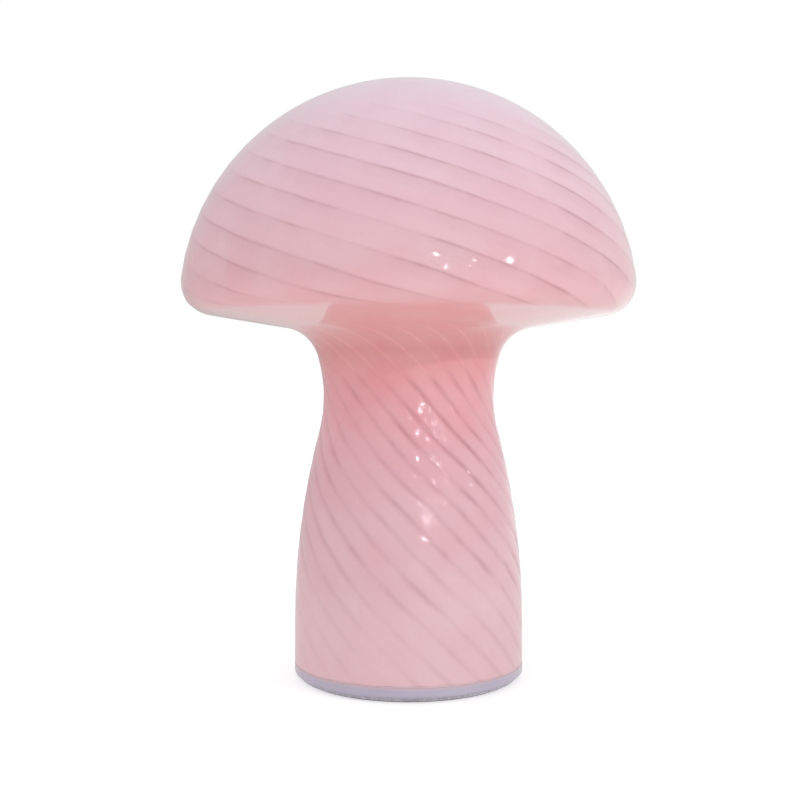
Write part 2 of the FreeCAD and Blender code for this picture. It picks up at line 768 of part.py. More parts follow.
def foot_ring():
    return turned_body("foot_ring", [
        ("foot_radius - foot_width", "0"), ("foot_radius", "0"), ("foot_radius", "foot_thickness"),
        ("foot_radius - foot_width", "foot_thickness")])


# ---------------------------------------------------------------- screws

def cross_recess(sketch, x_text, y_text, radius_text):
    """A plus-shaped recess in a screw head, drawn as one closed outline of twelve corners."""
    arm = f"{radius_text} * recess_share"
    half = f"{radius_text} * recess_share * recess_slot / 2"
    corners = []
    for x_sign, y_sign in (("+", "+"), ("-", "+"), ("-", "-"), ("+", "-")):
        run = [(arm, half), (half, half), (half, arm)]
        if x_sign != y_sign:
            run.reverse()
        for x_size, y_size in run:
            corners.append((f"{x_text} {x_sign} {x_size}", f"{y_text} {y_sign} {y_size}"))
    outline(sketch, corners)


def screw_set(label, spots, seat_text, length, point_up=False, head="small_head", shank="small_screw_radius"):
    """Identical screws at several spots. The head's bearing face is at the seat level."""
    body = new_body(label)
    heads = new_sketch(body, "Heads", "XY_Plane", seat_text)
    shanks = new_sketch(body, "Shanks", "XY_Plane", seat_text)
    head_end = f"{seat_text} {'-' if point_up else '+'} {head}_height"
    recesses = new_sketch(body, "Recesses", "XY_Plane", head_end)
    for x_text, y_text in spots:
        circle(heads, x_text, y_text, head + "_radius")
        circle(shanks, x_text, y_text, shank)
        cross_recess(recesses, x_text, y_text, head + "_radius")
    pad(body, heads, "HeadPad", head + "_height", flip=point_up)
    pad(body, shanks, "ShankPad", length, flip=not point_up)
    pocket(body, recesses, "RecessCut", head + "_height / 2", up=point_up)
    return body


# ---------------------------------------------------------------- light module

def led_screw_spots():
    spots = []
    for step in range(LED_SCREW_COUNT):
        angle = 360 * step / LED_SCREW_COUNT - 90
        spots.append((f"led_screw_circle * cos({angle})", f"led_screw_circle * sin({angle})"))
    return spots


def drilled_disc(label, radius_text, low_text, thickness_text, lead_hole):
    """Flat disc with the light module's screw holes and, if asked, the hole for its leads."""
    body = new_body(label)
    plan = new_sketch(body, "Plan", "XY_Plane", low_text)
    circle(plan, "0", "0", radius_text)
    for x_text, y_text in led_screw_spots():
        circle(plan, x_text, y_text, "small_screw_radius + screw_hole_clearance")
    if lead_hole:
        circle(plan, "0", "lead_hole_offset", "lead_hole_radius")
    pad(body, plan, "Disc", thickness_text)
    return body


def led_chips():
    body = new_body("led_chips")
    plan = new_sketch(body, "Plan", "XY_Plane", "led_board_top")
    rectangle(plan, "led_circle - led_width / 2", "led_circle + led_width / 2",
              "-led_length / 2", "led_length / 2")
    chip = pad(body, plan, "Chip", "led_thickness")
    doc.recompute()
    polar(body, plan, [chip], LED_COUNT)
    return body


def diffuser_dome():
    """Opal dome over the chips: a straight skirt with a foot flange, and a domed crown."""
    body = new_body("diffuser_dome")
    top = sizes.dome_height + levels.deck_top
    section = new_sketch(body, "Section", "XZ_Plane")
    dome_section(section, "", 0.0, top)
    turn_solid(body, section)
    inside = new_sketch(body, "Inside", "XZ_Plane")
    dome_section(inside, " - dome_wall", sizes.dome_wall, top)
    groove(body, inside, "Hollow")
    foot = new_sketch(body, "Foot", "XY_Plane", "deck_top")
    circle(foot, "0", "0", "dome_seat_radius")
    circle(foot, "0", "0", "dome_radius - dome_wall / 2")
    pad(body, foot, "FootPad", "dome_wall")
    return body


def dome_section(sketch, wall_text, wall, top):
    """Half section: axis, crown arc, skirt and floor; the crown arc's middle is on the axis."""
    radius = sizes.dome_crown_radius - wall
    side = sizes.dome_radius - wall
    deck = levels.deck_top
    centre = Vector(0, top - sizes.dome_crown_radius, 0)
    low = math.acos(side / radius)
    corner = centre + Vector(math.cos(low), math.sin(low), 0) * radius
    sketch.addGeometry(Part.ArcOfCircle(Part.Circle(centre, Vector(0, 0, 1), radius), low, math.pi / 2))
    sketch.addGeometry(Part.LineSegment(corner, Vector(side, deck, 0)))
    sketch.addGeometry(Part.LineSegment(Vector(side, deck, 0), Vector(0, deck, 0)))
    sketch.addGeometry(Part.LineSegment(Vector(0, deck, 0), Vector(0, top - wall, 0)))
    for joint in ((0, 1, 1, 1), (1, 2, 2, 1), (2, 2, 3, 1), (3, 2, 0, 2)):
        sketch.addConstraint(Sketcher.Constraint("Coincident", *joint))
    sketch.addConstraint(Sketcher.Constraint("PointOnObject", 0, 3, -2))
    sketch.addConstraint(Sketcher.Constraint("PointOnObject", 0, 2, -2))
    fix(sketch, "Radius", (0,), radius, "dome_crown_radius" + wall_text)
    fix(sketch, "DistanceY", (-1, 1, 0, 2), top - wall, "deck_top + dome_height" + wall_text)
    sketch.addConstraint(Sketcher.Constraint("Vertical", 1))
    sketch.addConstraint(Sketcher.Constraint("Horizontal", 2))
    sketch.addConstraint(Sketcher.Constraint("Vertical", 3))
    fix_point(sketch, 1, 2, "dome_radius" + wall_text, "deck_top", Vector(side, deck, 0))


# ---------------------------------------------------------------- control board and port

def control_board():
    """Board between the pillars, with notches for the port and the switch at its back edge."""
    body = new_body("control_board")
    plan = new_sketch(body, "Plan", "XY_Plane", "board_bottom")
    port_half = "(port_width / 2 + board_notch_gap)"
    switch_left = "button_offset - switch_width / 2 - board_notch_gap"
    switch_right = "button_offset + switch_width / 2 + board_notch_gap"
    outline(plan, [
        ("-board_half_width", "-board_front"), ("board_half_width", "-board_front"),
        ("board_half_width", "board_switch_edge"), (switch_right, "board_switch_edge"),
        (switch_right, "switch_back - board_notch_gap"), (switch_left, "switch_back - board_notch_gap"),
        (switch_left, "board_switch_edge"), ("board_port_right", "board_switch_edge"),
        ("board_port_right", "board_port_edge"), (port_half, "board_port_edge"),
        (port_half, "port_back - board_notch_gap"), ("-" + port_half, "port_back - board_notch_gap"),
        ("-" + port_half, "board_port_edge"), ("-board_port_left", "board_port_edge"),
        ("-board_port_left", "board_switch_edge - board_step"),
        ("-board_half_width", "board_switch_edge - board_step")])
    for x_text, y_text in board_spots():
        circle(plan, x_text, y_text, "small_screw_radius + screw_hole_clearance")
    pad(body, plan, "Sheet", "board_thickness")
    return body


def board_parts():
    """Chips, coil and capacitors, and the indicator's own chip at the edge: separate solids."""
    items = []
    for name, (x, setback, width, depth, height) in BOARD_COMPONENTS.items():
        items.append(block(title(name), f"{x - width / 2}", f"{x + width / 2}",
                           f"board_port_edge - {setback + depth / 2}",
                           f"board_port_edge - {setback - depth / 2}", "board_top", f"board_top + {height}"))
    width, depth, height = INDICATOR_CHIP
    items.append(block("IndicatorChip", f"-indicator_offset - {width / 2}",
                       f"-indicator_offset + {width / 2}", f"board_port_edge - {depth}",
                       "board_port_edge", "board_top", f"board_top + {height}"))
    group = doc.addObject("Part::Compound", "BoardParts")
    group.Links = items
    group.Label = "board_parts"
    return group


def port_shell():
    """Stamped steel shell of the charging port."""
    body = new_body("port_shell")
    plan = new_sketch(body, "Outline", "XZ_Plane", "-port_front")
    port_outline(plan, "0")
    port_outline(plan, "port_shell")
    pad(body, plan, "Tube", "port_depth")
    return body


def port_tongue():
    """Insulator of the charging port: a back block and the contact tongue."""
    body = new_body("port_tongue")
    back = new_sketch(body, "Back", "XZ_Plane", "-port_back")
    port_outline(back, "port_shell")
    pad(body, back, "BackPad", "port_depth - tongue_length - tongue_setback", flip=True)
    tongue = new_sketch(body, "Tongue", "XZ_Plane", "-port_back")
    rectangle(tongue, "-tongue_width / 2", "tongue_width / 2",
              "port_level", "port_level + tongue_thickness")
    pad(body, tongue, "TonguePad", "port_depth - tongue_setback", flip=True)
    return body


def indicator_lens():
    """Clear light pipe in the ring's small window, held by a flange behind the skin."""
    centre = ("-indicator_offset", "port_level")
    pipe = rod("IndicatorPipe", "y", "indicator_seat", "stem_radius", centre, "indicator_radius")
    flange = rod("IndicatorFlange", "y", "indicator_seat - indicator_flange_depth", "indicator_seat", centre,
                 "indicator_radius + indicator_flange")
    whole = boolean("Fuse", "IndicatorWhole", pipe, flange)
    round_ring = rod("IndicatorTrim", "z", "0", "ring_top", ("0", "0"), "stem_radius")
    lens = boolean("Common", "IndicatorLens", whole, round_ring)
    lens.Label = "indicator_lens"
    return lens


def tact_switch():
    """Side-push switch sunk in the board's notch, with a pocket for its plunger."""
    low = "port_level - switch_height / 2"
    case = block("SwitchCase", "button_offset - switch_width / 2", "button_offset + switch_width / 2",
                 "switch_back", "switch_front", low, f"{low} + switch_height")
    half_width = "(plunger_width / 2 + plunger_play)"
    half_height = "(plunger_height / 2 + plunger_play)"
    hollow = block("SwitchPocket", "button_offset - " + half_width, "button_offset + " + half_width,
                   "switch_front - plunger_hidden - button_travel - plunger_play", "switch_front + overcut",
                   "port_level - " + half_height, "port_level + " + half_height)
    switch = boolean("Cut", "TactSwitch", case, hollow)
    switch.Label = "tact_switch"
    return switch


def switch_plunger():
    plunger = block("SwitchPlunger", "button_offset - plunger_width / 2",
                    "button_offset + plunger_width / 2", "switch_front - plunger_hidden", "flange_back",
                    "port_level - plunger_height / 2", "port_level + plunger_height / 2")
    plunger.Label = "switch_plunger"
    return plunger


def power_button():
    """Slim key at the back: its face follows the ring and its flange stays behind the skin."""
    body = new_body("power_button")
    face = new_sketch(body, "Face", "XZ_Plane", "-flange_back")
    stadium_slot(face, "button_offset", "button_width", "button_height")
    pad(body, face, "Key", "stem_radius - flange_back + button_proud", flip=True)
    flange = new_sketch(body, "Flange", "XZ_Plane", "-flange_back")
    rectangle(flange, "button_offset - button_width / 2 - button_overhang", "flange_end",
              "port_level - button_height / 2", "port_level + button_height / 2")
    pad(body, flange, "FlangePad", "button_flange", flip=True)
    trim = new_sketch(body, "Trim", "XY_Plane", "0")
    circle(trim, "0", "0", "stem_radius + button_proud")
    circle(trim, "0", "0", "stem_radius * 3")
    pocket(body, trim, "FaceCut", "ring_top", up=True)
    return body


# ---------------------------------------------------------------- battery

def battery_cell():
    """One lithium cell lying along X, with softly rounded ends."""
    body = new_body("battery_cell")
    end = new_sketch(body, "End", "YZ_Plane", "-cell_length / 2")
    circle(end, "0", "cell_level", "cell_radius")
    pad(body, end, "Can", "cell_length")
    doc.recompute()
    base = body.Tip
    names = [f"Edge{number}" for number, edge in enumerate(base.Shape.Edges, start=1)
             if isinstance(edge.Curve, Part.Circle)]
    rounding = body.newObject("PartDesign::Fillet", "BatteryCellEnds")
    rounding.Base = (base, names)
    bind(rounding, "Radius", "cell_end_round")
    return body


def battery_cradle():
    """Two saddles on the plate, joined by rails with ears for the clamp."""
    items = []
    for side, low, high in (("Left", "-saddle_end", "-saddle_place"), ("Right", "saddle_place", "saddle_end")):
        items.append(block("Saddle" + side, low, high, "-cradle_half_depth", "cradle_half_depth",
                           "cradle_seat", "cell_level"))
    for side, low, high in (("Front", "-cradle_half_depth", "-cell_radius"),
                            ("Back", "cell_radius", "cradle_half_depth")):
        items.append(block("Rail" + side, "-saddle_end", "saddle_end", low, high,
                           "cell_level - rail_depth", "cell_level"))
    for side, low, high in (("Front", "-ear_end", "-cell_radius"), ("Back", "cell_radius", "ear_end")):
        items.append(block("CradleEar" + side, "-clamp_half_width", "clamp_half_width", low, high,
                           "cell_level - rail_depth", "cell_level"))
    frame = fuse_all("CradleFrame", items)
    cuts = [rod("CradleBed", "x", "-cell_length", "cell_length", ("0", "cell_level"),
                "cell_radius + cradle_clearance"),
            block("CradleArch", "-saddle_end - overcut", "saddle_end + overcut", "-cradle_arch_half",
                  "cradle_arch_half", "0", "cradle_seat + cradle_arch_height")]
    for number, (x_text, y_text) in enumerate(cradle_spots()):
        cuts.append(rod(f"CradlePilot{number}", "z", "cradle_seat - overcut",
                        "head_seat + cradle_screw_length + pilot_spare", (x_text, y_text),
                        "small_screw_radius"))
    for number, (x_text, y_text) in enumerate(clamp_spots()):
        cuts.append(rod(f"EarPilot{number}", "z", "cell_level - rail_depth - overcut",
                        "cell_level + overcut", (x_text, y_text), "small_screw_radius"))
    cradle = boolean("Cut", "BatteryCradle", frame, fuse_all("CradleCuts", cuts))
    cradle.Label = "battery_cradle"
    return cradle


def clamp_spots():
    y_text = "(ear_end - clamp_ear / 2 + clamp_screw_shift)"
    return [("0", y_text), ("0", "-" + y_text)]


def battery_clamp():
    """Moulded strap over the cell, screwed down on the cradle's ears."""
    arch = rod("ClampArch", "x", "-clamp_half_width", "clamp_half_width", ("0", "cell_level"), "clamp_radius")
    ears = block("ClampEars", "-clamp_half_width", "clamp_half_width", "-ear_end", "ear_end",
                 "cell_level", "cell_level + clamp_wall")
    bed = rod("ClampBed", "x", "-cell_length", "cell_length", ("0", "cell_level"),
              "cell_radius + cradle_clearance")
    lower = block("ClampLower", "-cell_length", "cell_length", "-ear_end - overcut", "ear_end + overcut",
                  "0", "cell_level")
    cuts = [bed, lower]
    for number, (x_text, y_text) in enumerate(clamp_spots()):
        cuts.append(rod(f"ClampHole{number}", "z", "cell_level - overcut",
                        "cell_level + clamp_wall + overcut", (x_text, y_text),
                        "small_screw_radius + screw_hole_clearance"))
    clamp = boolean("Cut", "BatteryClamp", fuse_all("ClampWhole", [arch, ears]), fuse_all("ClampCuts", cuts))
    clamp.Label = "battery_clamp"
    return clamp


def battery_tabs():
    """Nickel strips welded on both ends of the cell."""
    low = "cell_level - tab_height / 3"
    right = block("TabRight", "cell_length / 2", "cell_length / 2 + tab_thickness", "-tab_width / 2",
                  "tab_width / 2", low, f"{low} + tab_height")
    left = block("TabLeft", "-cell_length / 2 - tab_thickness", "-cell_length / 2", "-tab_width / 2",
                 "tab_width / 2", low, f"{low} + tab_height")
    group = doc.addObject("Part::Compound", "BatteryTabs")
    group.Links = [right, left]
    group.Label = "battery_tabs"
    return group


# ---------------------------------------------------------------- connectors and leads

def plug_block(kind, part, low_text, high_text, margin):
    x, setback = PLUG_PLACES[kind]
    return block(title(f"{kind}_{part}_block"), f"{x} - plug_width / 2 + {margin}",
                 f"{x} + plug_width / 2 - {margin}",
                 f"board_port_edge - {setback} - plug_depth / 2 + {margin}",
                 f"board_port_edge - {setback} + plug_depth / 2 - {margin}", low_text, high_text)


def plug_middle(kind):
    x, setback = PLUG_PLACES[kind]
    return x, levels.board_port_edge - setback


def board_sockets():
    """Two wafer sockets on the board, one for the battery and one for the light."""
    items = [plug_block(kind, "socket", "board_top", "socket_level", "0") for kind in PLUG_PLACES]
    group = doc.addObject("Part::Compound", "BoardSockets")
    group.Links = items
    group.Label = "board_sockets"
    return group


def lead_plug(kind):
    plug = plug_block(kind, "plug", "socket_level", "plug_top", "plug_margin")
    plug.Label = f"{kind}_plug"
    return plug


def round_bend(before, corner, after):
    """Arc that rounds one corner, as large as its shorter run allows."""
    back = (before - corner).normalize()
    on = (after - corner).normalize()
    turn = math.pi - back.getAngle(on)
    reach = BEND_SHARE * min((before - corner).Length, (after - corner).Length)
    radius = reach / math.tan(turn / 2)
    middle = corner + (back + on).normalize() * (radius / math.cos(turn / 2) - radius)
    return Part.Arc(corner + back * reach, middle, corner + on * reach), radius


def lead(label, points):
    """Insulated lead: straight runs joined by tangent arcs, swept with a round section."""
    edges = []
    radii = []
    place = points[0]
    for before, corner, after in zip(points, points[1:], points[2:]):
        arc, radius = round_bend(before, corner, after)
        edges.append(Part.LineSegment(place, arc.StartPoint).toShape())
        edges.append(arc.toShape())
        place = arc.EndPoint
        radii.append(radius)
    edges.append(Part.LineSegment(place, points[-1]).toShape())
    path = Part.Wire(edges)
    start = (points[1] - points[0]).normalize()
    section = Part.Wire([Part.Circle(points[0], start, sizes.lead_radius).toShape()])
    item = doc.addObject("Part::Feature", title(label))
    item.Shape = path.makePipeShell([section], True, False)
    item.Label = label
    expected = math.pi * sizes.lead_radius ** 2 * path.Length
    print(label, "bend radii", [round(radius, 1) for radius in radii],
          "volume share", round(item.Shape.Volume / expected, 4))
    return item


def tab_start(side):
    """The lead lies on the tab's outer face, then passes the cell's end."""
    x_tab = side * (levels.cell_length / 2 + sizes.tab_thickness + sizes.lead_radius)
    level = sizes.cell_level + TAB_LEAD_RISE
    return [Vector(x_tab, -sizes.tab_width / 2, level),
            Vector(x_tab, sizes.cradle_half_depth + CELL_PASS, level)]


def battery_lead_red():
    """From the right tab, past the saddle and down into the battery plug."""
    x_plug, y_plug = plug_middle("battery")
    x_end = x_plug + sizes.lead_spacing / 2
    beside = sizes.cradle_half_depth + RED_SIDE_PASS
    return lead("battery_lead_red", tab_start(1) + [
        Vector(sizes.saddle_place + SADDLE_PASS, beside, sizes.cell_level),
        Vector(x_end + RED_SLANT, beside, levels.plug_top + PLUG_RISE),
        Vector(x_end, y_plug, levels.plug_top + RED_PLUG_RISE),
        Vector(x_end, y_plug, levels.plug_top)])


def battery_lead_black():
    """From the left tab, across behind the cradle's ear and down into the battery plug."""
    x_plug, y_plug = plug_middle("battery")
    x_end = x_plug - sizes.lead_spacing / 2
    behind = levels.ear_end + BLACK_SIDE_PASS
    crossing = levels.plug_top + PLUG_RISE
    return lead("battery_lead_black", tab_start(-1) + [
        Vector(-sizes.saddle_place - SADDLE_PASS, behind - BLACK_SLANT, sizes.cell_level),
        Vector(BLACK_CROSSING[0], behind, crossing),
        Vector(BLACK_CROSSING[1], behind, crossing),
        Vector(x_end, y_plug, crossing),
        Vector(x_end, y_plug, levels.plug_top)])


def led_lead(label, side):
    """From the light plug up through the deck and back onto the light board's edge."""
    x_plug, y_plug = plug_middle("led")
    x_start = x_plug + side * sizes.lead_spacing / 2
    x_hole = side * sizes.lead_spacing / 2
    y_hole = sizes.lead_hole_offset
    landing = levels.led_board_top + sizes.lead_radius
    return lead(label, [
        Vector(x_start, y_plug, levels.plug_top),
        Vector(x_start, y_plug, levels.plug_top + LED_PLUG_RISE),
        Vector(x_hole, y_hole, levels.deck_bottom - DECK_APPROACH),
        Vector(x_hole, y_hole, landing),
        Vector(x_hole, sizes.led_board_radius - LED_PAD_INSET, landing)])


# ---------------------------------------------------------------- the lamp

def build_lamp():
    pieces = [glass_body(), base_ring(), glass_gasket(), grip_band(), base_drum(), bottom_plate(), foot_ring()]
    pieces.append(screw_set("base_screws", boss_spots(), "head_seat", "screw_length", True, "screw_head",
                            "screw_radius"))
    pieces.append(screw_set("cradle_screws", cradle_spots(), "head_seat", "cradle_screw_length", True))
    pieces.append(screw_set("board_screws", board_spots(), "board_top", "board_screw_length"))
    pieces.append(screw_set("clamp_screws", clamp_spots(), "cell_level + clamp_wall", "clamp_screw_length"))
    pieces.append(screw_set("led_screws", led_screw_spots(), "led_board_top", "led_screw_length"))
    pieces.append(drilled_disc("heat_plate", "heat_plate_radius", "deck_top", "heat_plate_thickness", True))
    pieces.append(drilled_disc("led_board", "led_board_radius", "heat_plate_top", "led_board_thickness", False))
    pieces += [led_chips(), diffuser_dome(), control_board(), board_parts(), port_shell(), port_tongue()]
    pieces += [indicator_lens(), tact_switch(), switch_plunger(), power_button()]
    pieces += [battery_cell(), battery_cradle(), battery_clamp(), battery_tabs()]
    pieces += [board_sockets(), lead_plug("battery"), lead_plug("led")]
    pieces += [battery_lead_red(), battery_lead_black()]
    pieces += [led_lead("led_lead_red", 1), led_lead("led_lead_black", -1)]
    doc.recompute()
    return pieces


def check(pieces):
    """Stop on any failed feature, empty cut or broken shape."""
    for item in doc.Objects:
        if "Invalid" in item.State or "Error" in item.State:
            raise RuntimeError(f"{item.Name} failed: {item.State}")
        if item.TypeId == "Sketcher::SketchObject" and not item.FullyConstrained:
            raise RuntimeError(f"{item.Name} is not fully constrained")
        if item.TypeId in ("PartDesign::Pocket", "PartDesign::Groove"):
            if item.Shape.Volume >= item.BaseFeature.Shape.Volume - 1e-6:
                raise RuntimeError(f"{item.Name} cuts nothing")
    for piece in pieces:
        if piece.Shape.isNull() or not piece.Shape.isValid():
            raise RuntimeError(f"{piece.Label} has no valid shape")


def export(pieces):
    os.makedirs("parts", exist_ok=True)
    for piece in pieces:
        piece.Shape.exportStep(f"parts/{piece.Label}.step")


lamp = build_lamp()
check(lamp)
export(lamp)
for piece in lamp:
    box = piece.Shape.BoundBox
    print(f"{piece.Label}: {len(piece.Shape.Solids)} solids, {piece.Shape.Volume:.1f} mm3, "
          f"z {box.ZMin:.2f} to {box.ZMax:.2f}")
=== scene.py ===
"""Mushroom table lamp: blown opal glass with a spiral, on a slim rechargeable light base.

Everything is in metres in the CAD frame: Z up along the stem, -Y to the front, the
port and the button at the back. The outline of the glass is worked out in millimetres,
and its arc lengths run from the top of the cap downwards.
"""
import json
import math

import bpy
import numpy as np
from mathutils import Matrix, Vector


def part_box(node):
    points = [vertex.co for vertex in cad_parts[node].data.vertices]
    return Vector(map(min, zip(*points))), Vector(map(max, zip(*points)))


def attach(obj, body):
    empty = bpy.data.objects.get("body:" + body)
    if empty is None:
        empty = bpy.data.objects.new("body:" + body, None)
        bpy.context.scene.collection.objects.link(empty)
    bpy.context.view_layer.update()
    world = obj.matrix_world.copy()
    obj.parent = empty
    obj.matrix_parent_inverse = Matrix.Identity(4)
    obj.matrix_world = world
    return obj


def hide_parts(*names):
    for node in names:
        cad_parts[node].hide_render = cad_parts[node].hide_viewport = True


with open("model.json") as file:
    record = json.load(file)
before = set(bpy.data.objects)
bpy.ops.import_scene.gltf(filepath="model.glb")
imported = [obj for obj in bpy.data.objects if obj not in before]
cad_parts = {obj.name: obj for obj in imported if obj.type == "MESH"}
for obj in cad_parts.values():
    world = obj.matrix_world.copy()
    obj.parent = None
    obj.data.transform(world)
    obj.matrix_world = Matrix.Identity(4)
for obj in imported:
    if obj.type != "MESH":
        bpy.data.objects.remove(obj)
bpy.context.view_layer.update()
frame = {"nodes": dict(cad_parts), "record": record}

MM = 0.001

# ---------------------------------------------------------------- sizes, in millimetres

# Outline of the glass, the same tangent arcs as the solid
TOTAL_HEIGHT = 230.0
CAP_RADIUS = 87.3
CAP_HEIGHT = 78.5
SHOULDER_RADIUS = 27.1
RIM_RADIUS = 11.4
UNDERSIDE_SLOPE = math.radians(9.2)
UNDERSIDE_FILLET = 15.3
NECK_RADIUS = 33.2
NECK_DROP = 42.6
THROAT_RADIUS = 56.3
STEM_RADIUS = 44.4
STRAIGHT_LEVEL = 21.8
WALL = 3.2
GLASS_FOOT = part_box("glass_body")[0].z / MM
RING_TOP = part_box("base_ring")[1].z

# Mesh of the glass: its columns and steps, and the rounded edges at its foot
COLUMNS = 288
ROW_STEP = 1.25
INNER_ROW_STEP = 5.0
OUTLINE_STEP = 0.1
FOOT_ROUND = 0.2
EDGE_TURNS = (0.0, 30.0, 60.0, 90.0)
# Stands in for the arc length on the inner face, which carries no lines
INNER_FACE = -1.0

# Spiral: the columns of the mesh follow it, so the grooves stay crisp. A twist is in degrees
# to a millimetre, and a phase is the angle that the spiral has at an arc length
CAP_LINES = 18
STEM_LINES = 24
CAP_TWIST = 2.0
CAP_PHASE = 6.0
CAP_PHASE_AT = 70.0
CAP_TWIST_END = 130.0
STEM_TWIST = 1.5
STEM_PHASE = 258.9
STEM_PHASE_AT = 205.0
FOOT_TWIST = 1.34
FOOT_TWIST_FROM = 250.0

# Arc lengths over which the lines come and go, their share left at the foot, and the smooth crown
CAP_LINES_COME = (52.0, 85.0)
CAP_LINES_GO = (150.0, 136.0)
# The neck's lines are painted light: paler than the glass, as light from inside shines through them in the
# cap's shade
NECK_LIGHT_LINES_COME = (174.0, 182.0)
NECK_LIGHT_LINES_GO = (204.0, 196.0)
STEM_LINES_COME = (192.0, 208.0)
STEM_LINES_WEAKEN = (290.0, 262.0)
SHARE_AT_FOOT = 0.3
STILL_CROWN = 6.0


# ---------------------------------------------------------------- node wiring

class Wiring:
    """Adds nodes to one node tree and joins their sockets."""

    def __init__(self, tree):
        self.tree = tree

    def add(self, kind, sockets=None, **settings):
        node = self.tree.nodes.new(kind)
        for name, value in settings.items():
            setattr(node, name, value)
        for key, value in (sockets or {}).items():
            if isinstance(value, bpy.types.NodeSocket):
                self.tree.links.new(value, node.inputs[key])
            else:
                node.inputs[key].default_value = value
        return node

    def math(self, operation, first, second=0.0):
        return self.add("ShaderNodeMath", {0: first, 1: second}, operation=operation).outputs[0]

    def product(self, *factors):
        value = factors[0]
        for factor in factors[1:]:
            value = self.math("MULTIPLY", value, factor)
        return value

    def bell(self, distance, width):
        """1 where the distance is none, falling off on both sides."""
        steps = self.math("DIVIDE", distance, width)
        return self.math("EXPONENT", self.product(steps, steps, -0.5))

    def blend(self, low, high, value, smooth=True):
        """0 below low and 1 above high, with a soft step between them."""
        kind = "SMOOTHSTEP" if smooth else "LINEAR"
        node = self.add("ShaderNodeMapRange", {"Value": value, "From Min": low, "From Max": high},
                        interpolation_type=kind)
        return node.outputs["Result"]

    def group(self, group, sockets):
        node = self.add("ShaderNodeGroup", node_tree=group)
        for key, value in sockets.items():
            node.inputs[key].default_value = value
        return node


def new_group(name, kind, inputs, outputs):
    """A node group with named sockets, and its wiring, input node and output node."""
    tree = bpy.data.node_groups.new(name, kind)
    for label, socket_type, value in inputs:
        socket = tree.interface.new_socket(label, in_out="INPUT", socket_type=socket_type)
        if value is not None:
            socket.default_value = value
    for label, socket_type in outputs:
        tree.interface.new_socket(label, in_out="OUTPUT", socket_type=socket_type)
    wiring = Wiring(tree)
    return tree, wiring, wiring.add("NodeGroupInput"), wiring.add("NodeGroupOutput")


# ---------------------------------------------------------------- finishes

def grain_group():
    """Fine moulded grain: a height for the bump and a slow change of tone."""
    tree, wires, entry, leave = new_group(
        "MouldedGrain", "ShaderNodeTree",
        [("Grain Scale", "NodeSocketFloat", 2500.0), ("Mottle Scale", "NodeSocketFloat", 60.0)],
        [("Height", "NodeSocketFloat"), ("Tone", "NodeSocketFloat")])
    place = wires.add("ShaderNodeTexCoord").outputs["Object"]
    grain = wires.add("ShaderNodeTexNoise", {"Vector": place, "Scale": entry.outputs["Grain Scale"],
                                             "Detail": 2.0})
    mottle = wires.add("ShaderNodeTexNoise", {"Vector": place, "Scale": entry.outputs["Mottle Scale"],
                                              "Detail": 4.0})
    wires.tree.links.new(grain.outputs["Fac"], leave.inputs["Height"])
    wires.tree.links.new(mottle.outputs["Fac"], leave.inputs["Tone"])
    return tree


def brushed_group():
    """Drawn or brushed metal: long fine streaks along X."""
    tree, wires, entry, leave = new_group(
        "BrushedMetal", "ShaderNodeTree",
        [("Streak Scale", "NodeSocketFloat", 900.0), ("Stretch", "NodeSocketFloat", 0.04)],
        [("Height", "NodeSocketFloat"), ("Tone", "NodeSocketFloat")])
    place = wires.add("ShaderNodeTexCoord").outputs["Object"]
    squeeze = wires.add("ShaderNodeCombineXYZ", {"X": entry.outputs["Stretch"], "Y": 1.0, "Z": 1.0})
    drawn = wires.add("ShaderNodeVectorMath", {0: place, 1: squeeze.outputs[0]}, operation="MULTIPLY")
    streak = wires.add("ShaderNodeTexNoise", {"Vector": drawn.outputs[0],
                                              "Scale": entry.outputs["Streak Scale"], "Detail": 3.0})
    cloud = wires.add("ShaderNodeTexNoise", {"Vector": place, "Scale": 120.0, "Detail": 3.0})
    wires.tree.links.new(streak.outputs["Fac"], leave.inputs["Height"])
    wires.tree.links.new(cloud.outputs["Fac"], leave.inputs["Tone"])
    return tree


GRAIN = grain_group()
BRUSHED = brushed_group()
# Part of the noise's range over which a finish goes from its darker to its lighter colour
TONE_RANGE = (0.35, 0.65)
# How far the roughness swings, and the height and reach of a metal's streaks
MOULDED_SPREAD = 0.08
METAL_SPREAD = 0.15
METAL_BUMP = 0.2
METAL_REACH = 0.0001


def new_material(name):
    """A material with one shader, and its wiring."""
    material = bpy.data.materials.new(name)
    material.use_nodes = True
    material.node_tree.nodes.clear()
    wires = Wiring(material.node_tree)
    shader = wires.add("ShaderNodeBsdfPrincipled")
    leave = wires.add("ShaderNodeOutputMaterial")
    wires.tree.links.new(shader.outputs[0], leave.inputs["Surface"])
    return material, wires, shader


def toned(wires, factor, low, high):
    """A colour that moves from low to high, sockets 6 and 7, as the factor rises."""
    node = wires.add("ShaderNodeMix", {"Factor": factor, 6: low, 7: high}, data_type="RGBA")
    return node.outputs[2]


def grained(name, low, high, rough, spread, group, sockets, bump, reach, **fixed):
    """A finish with its tone, roughness and bump from a shared group."""
    material, wires, shader = new_material(name)
    surface = wires.group(group, sockets)
    tone = surface.outputs["Tone"]
    link = wires.tree.links.new
    share = wires.blend(*TONE_RANGE, tone)
    link(toned(wires, share, (*low, 1.0), (*high, 1.0)), shader.inputs["Base Color"])
    swing = wires.add("ShaderNodeMath", {0: tone, 1: spread, 2: rough - spread / 2}, operation="MULTIPLY_ADD")
    link(swing.outputs[0], shader.inputs["Roughness"])
    relief = wires.add("ShaderNodeBump", {"Strength": bump, "Distance": reach,
                                          "Height": surface.outputs["Height"]})
    link(relief.outputs[0], shader.inputs["Normal"])
    for key, value in fixed.items():
        shader.inputs[key.replace("_", " ")].default_value = value
    return material


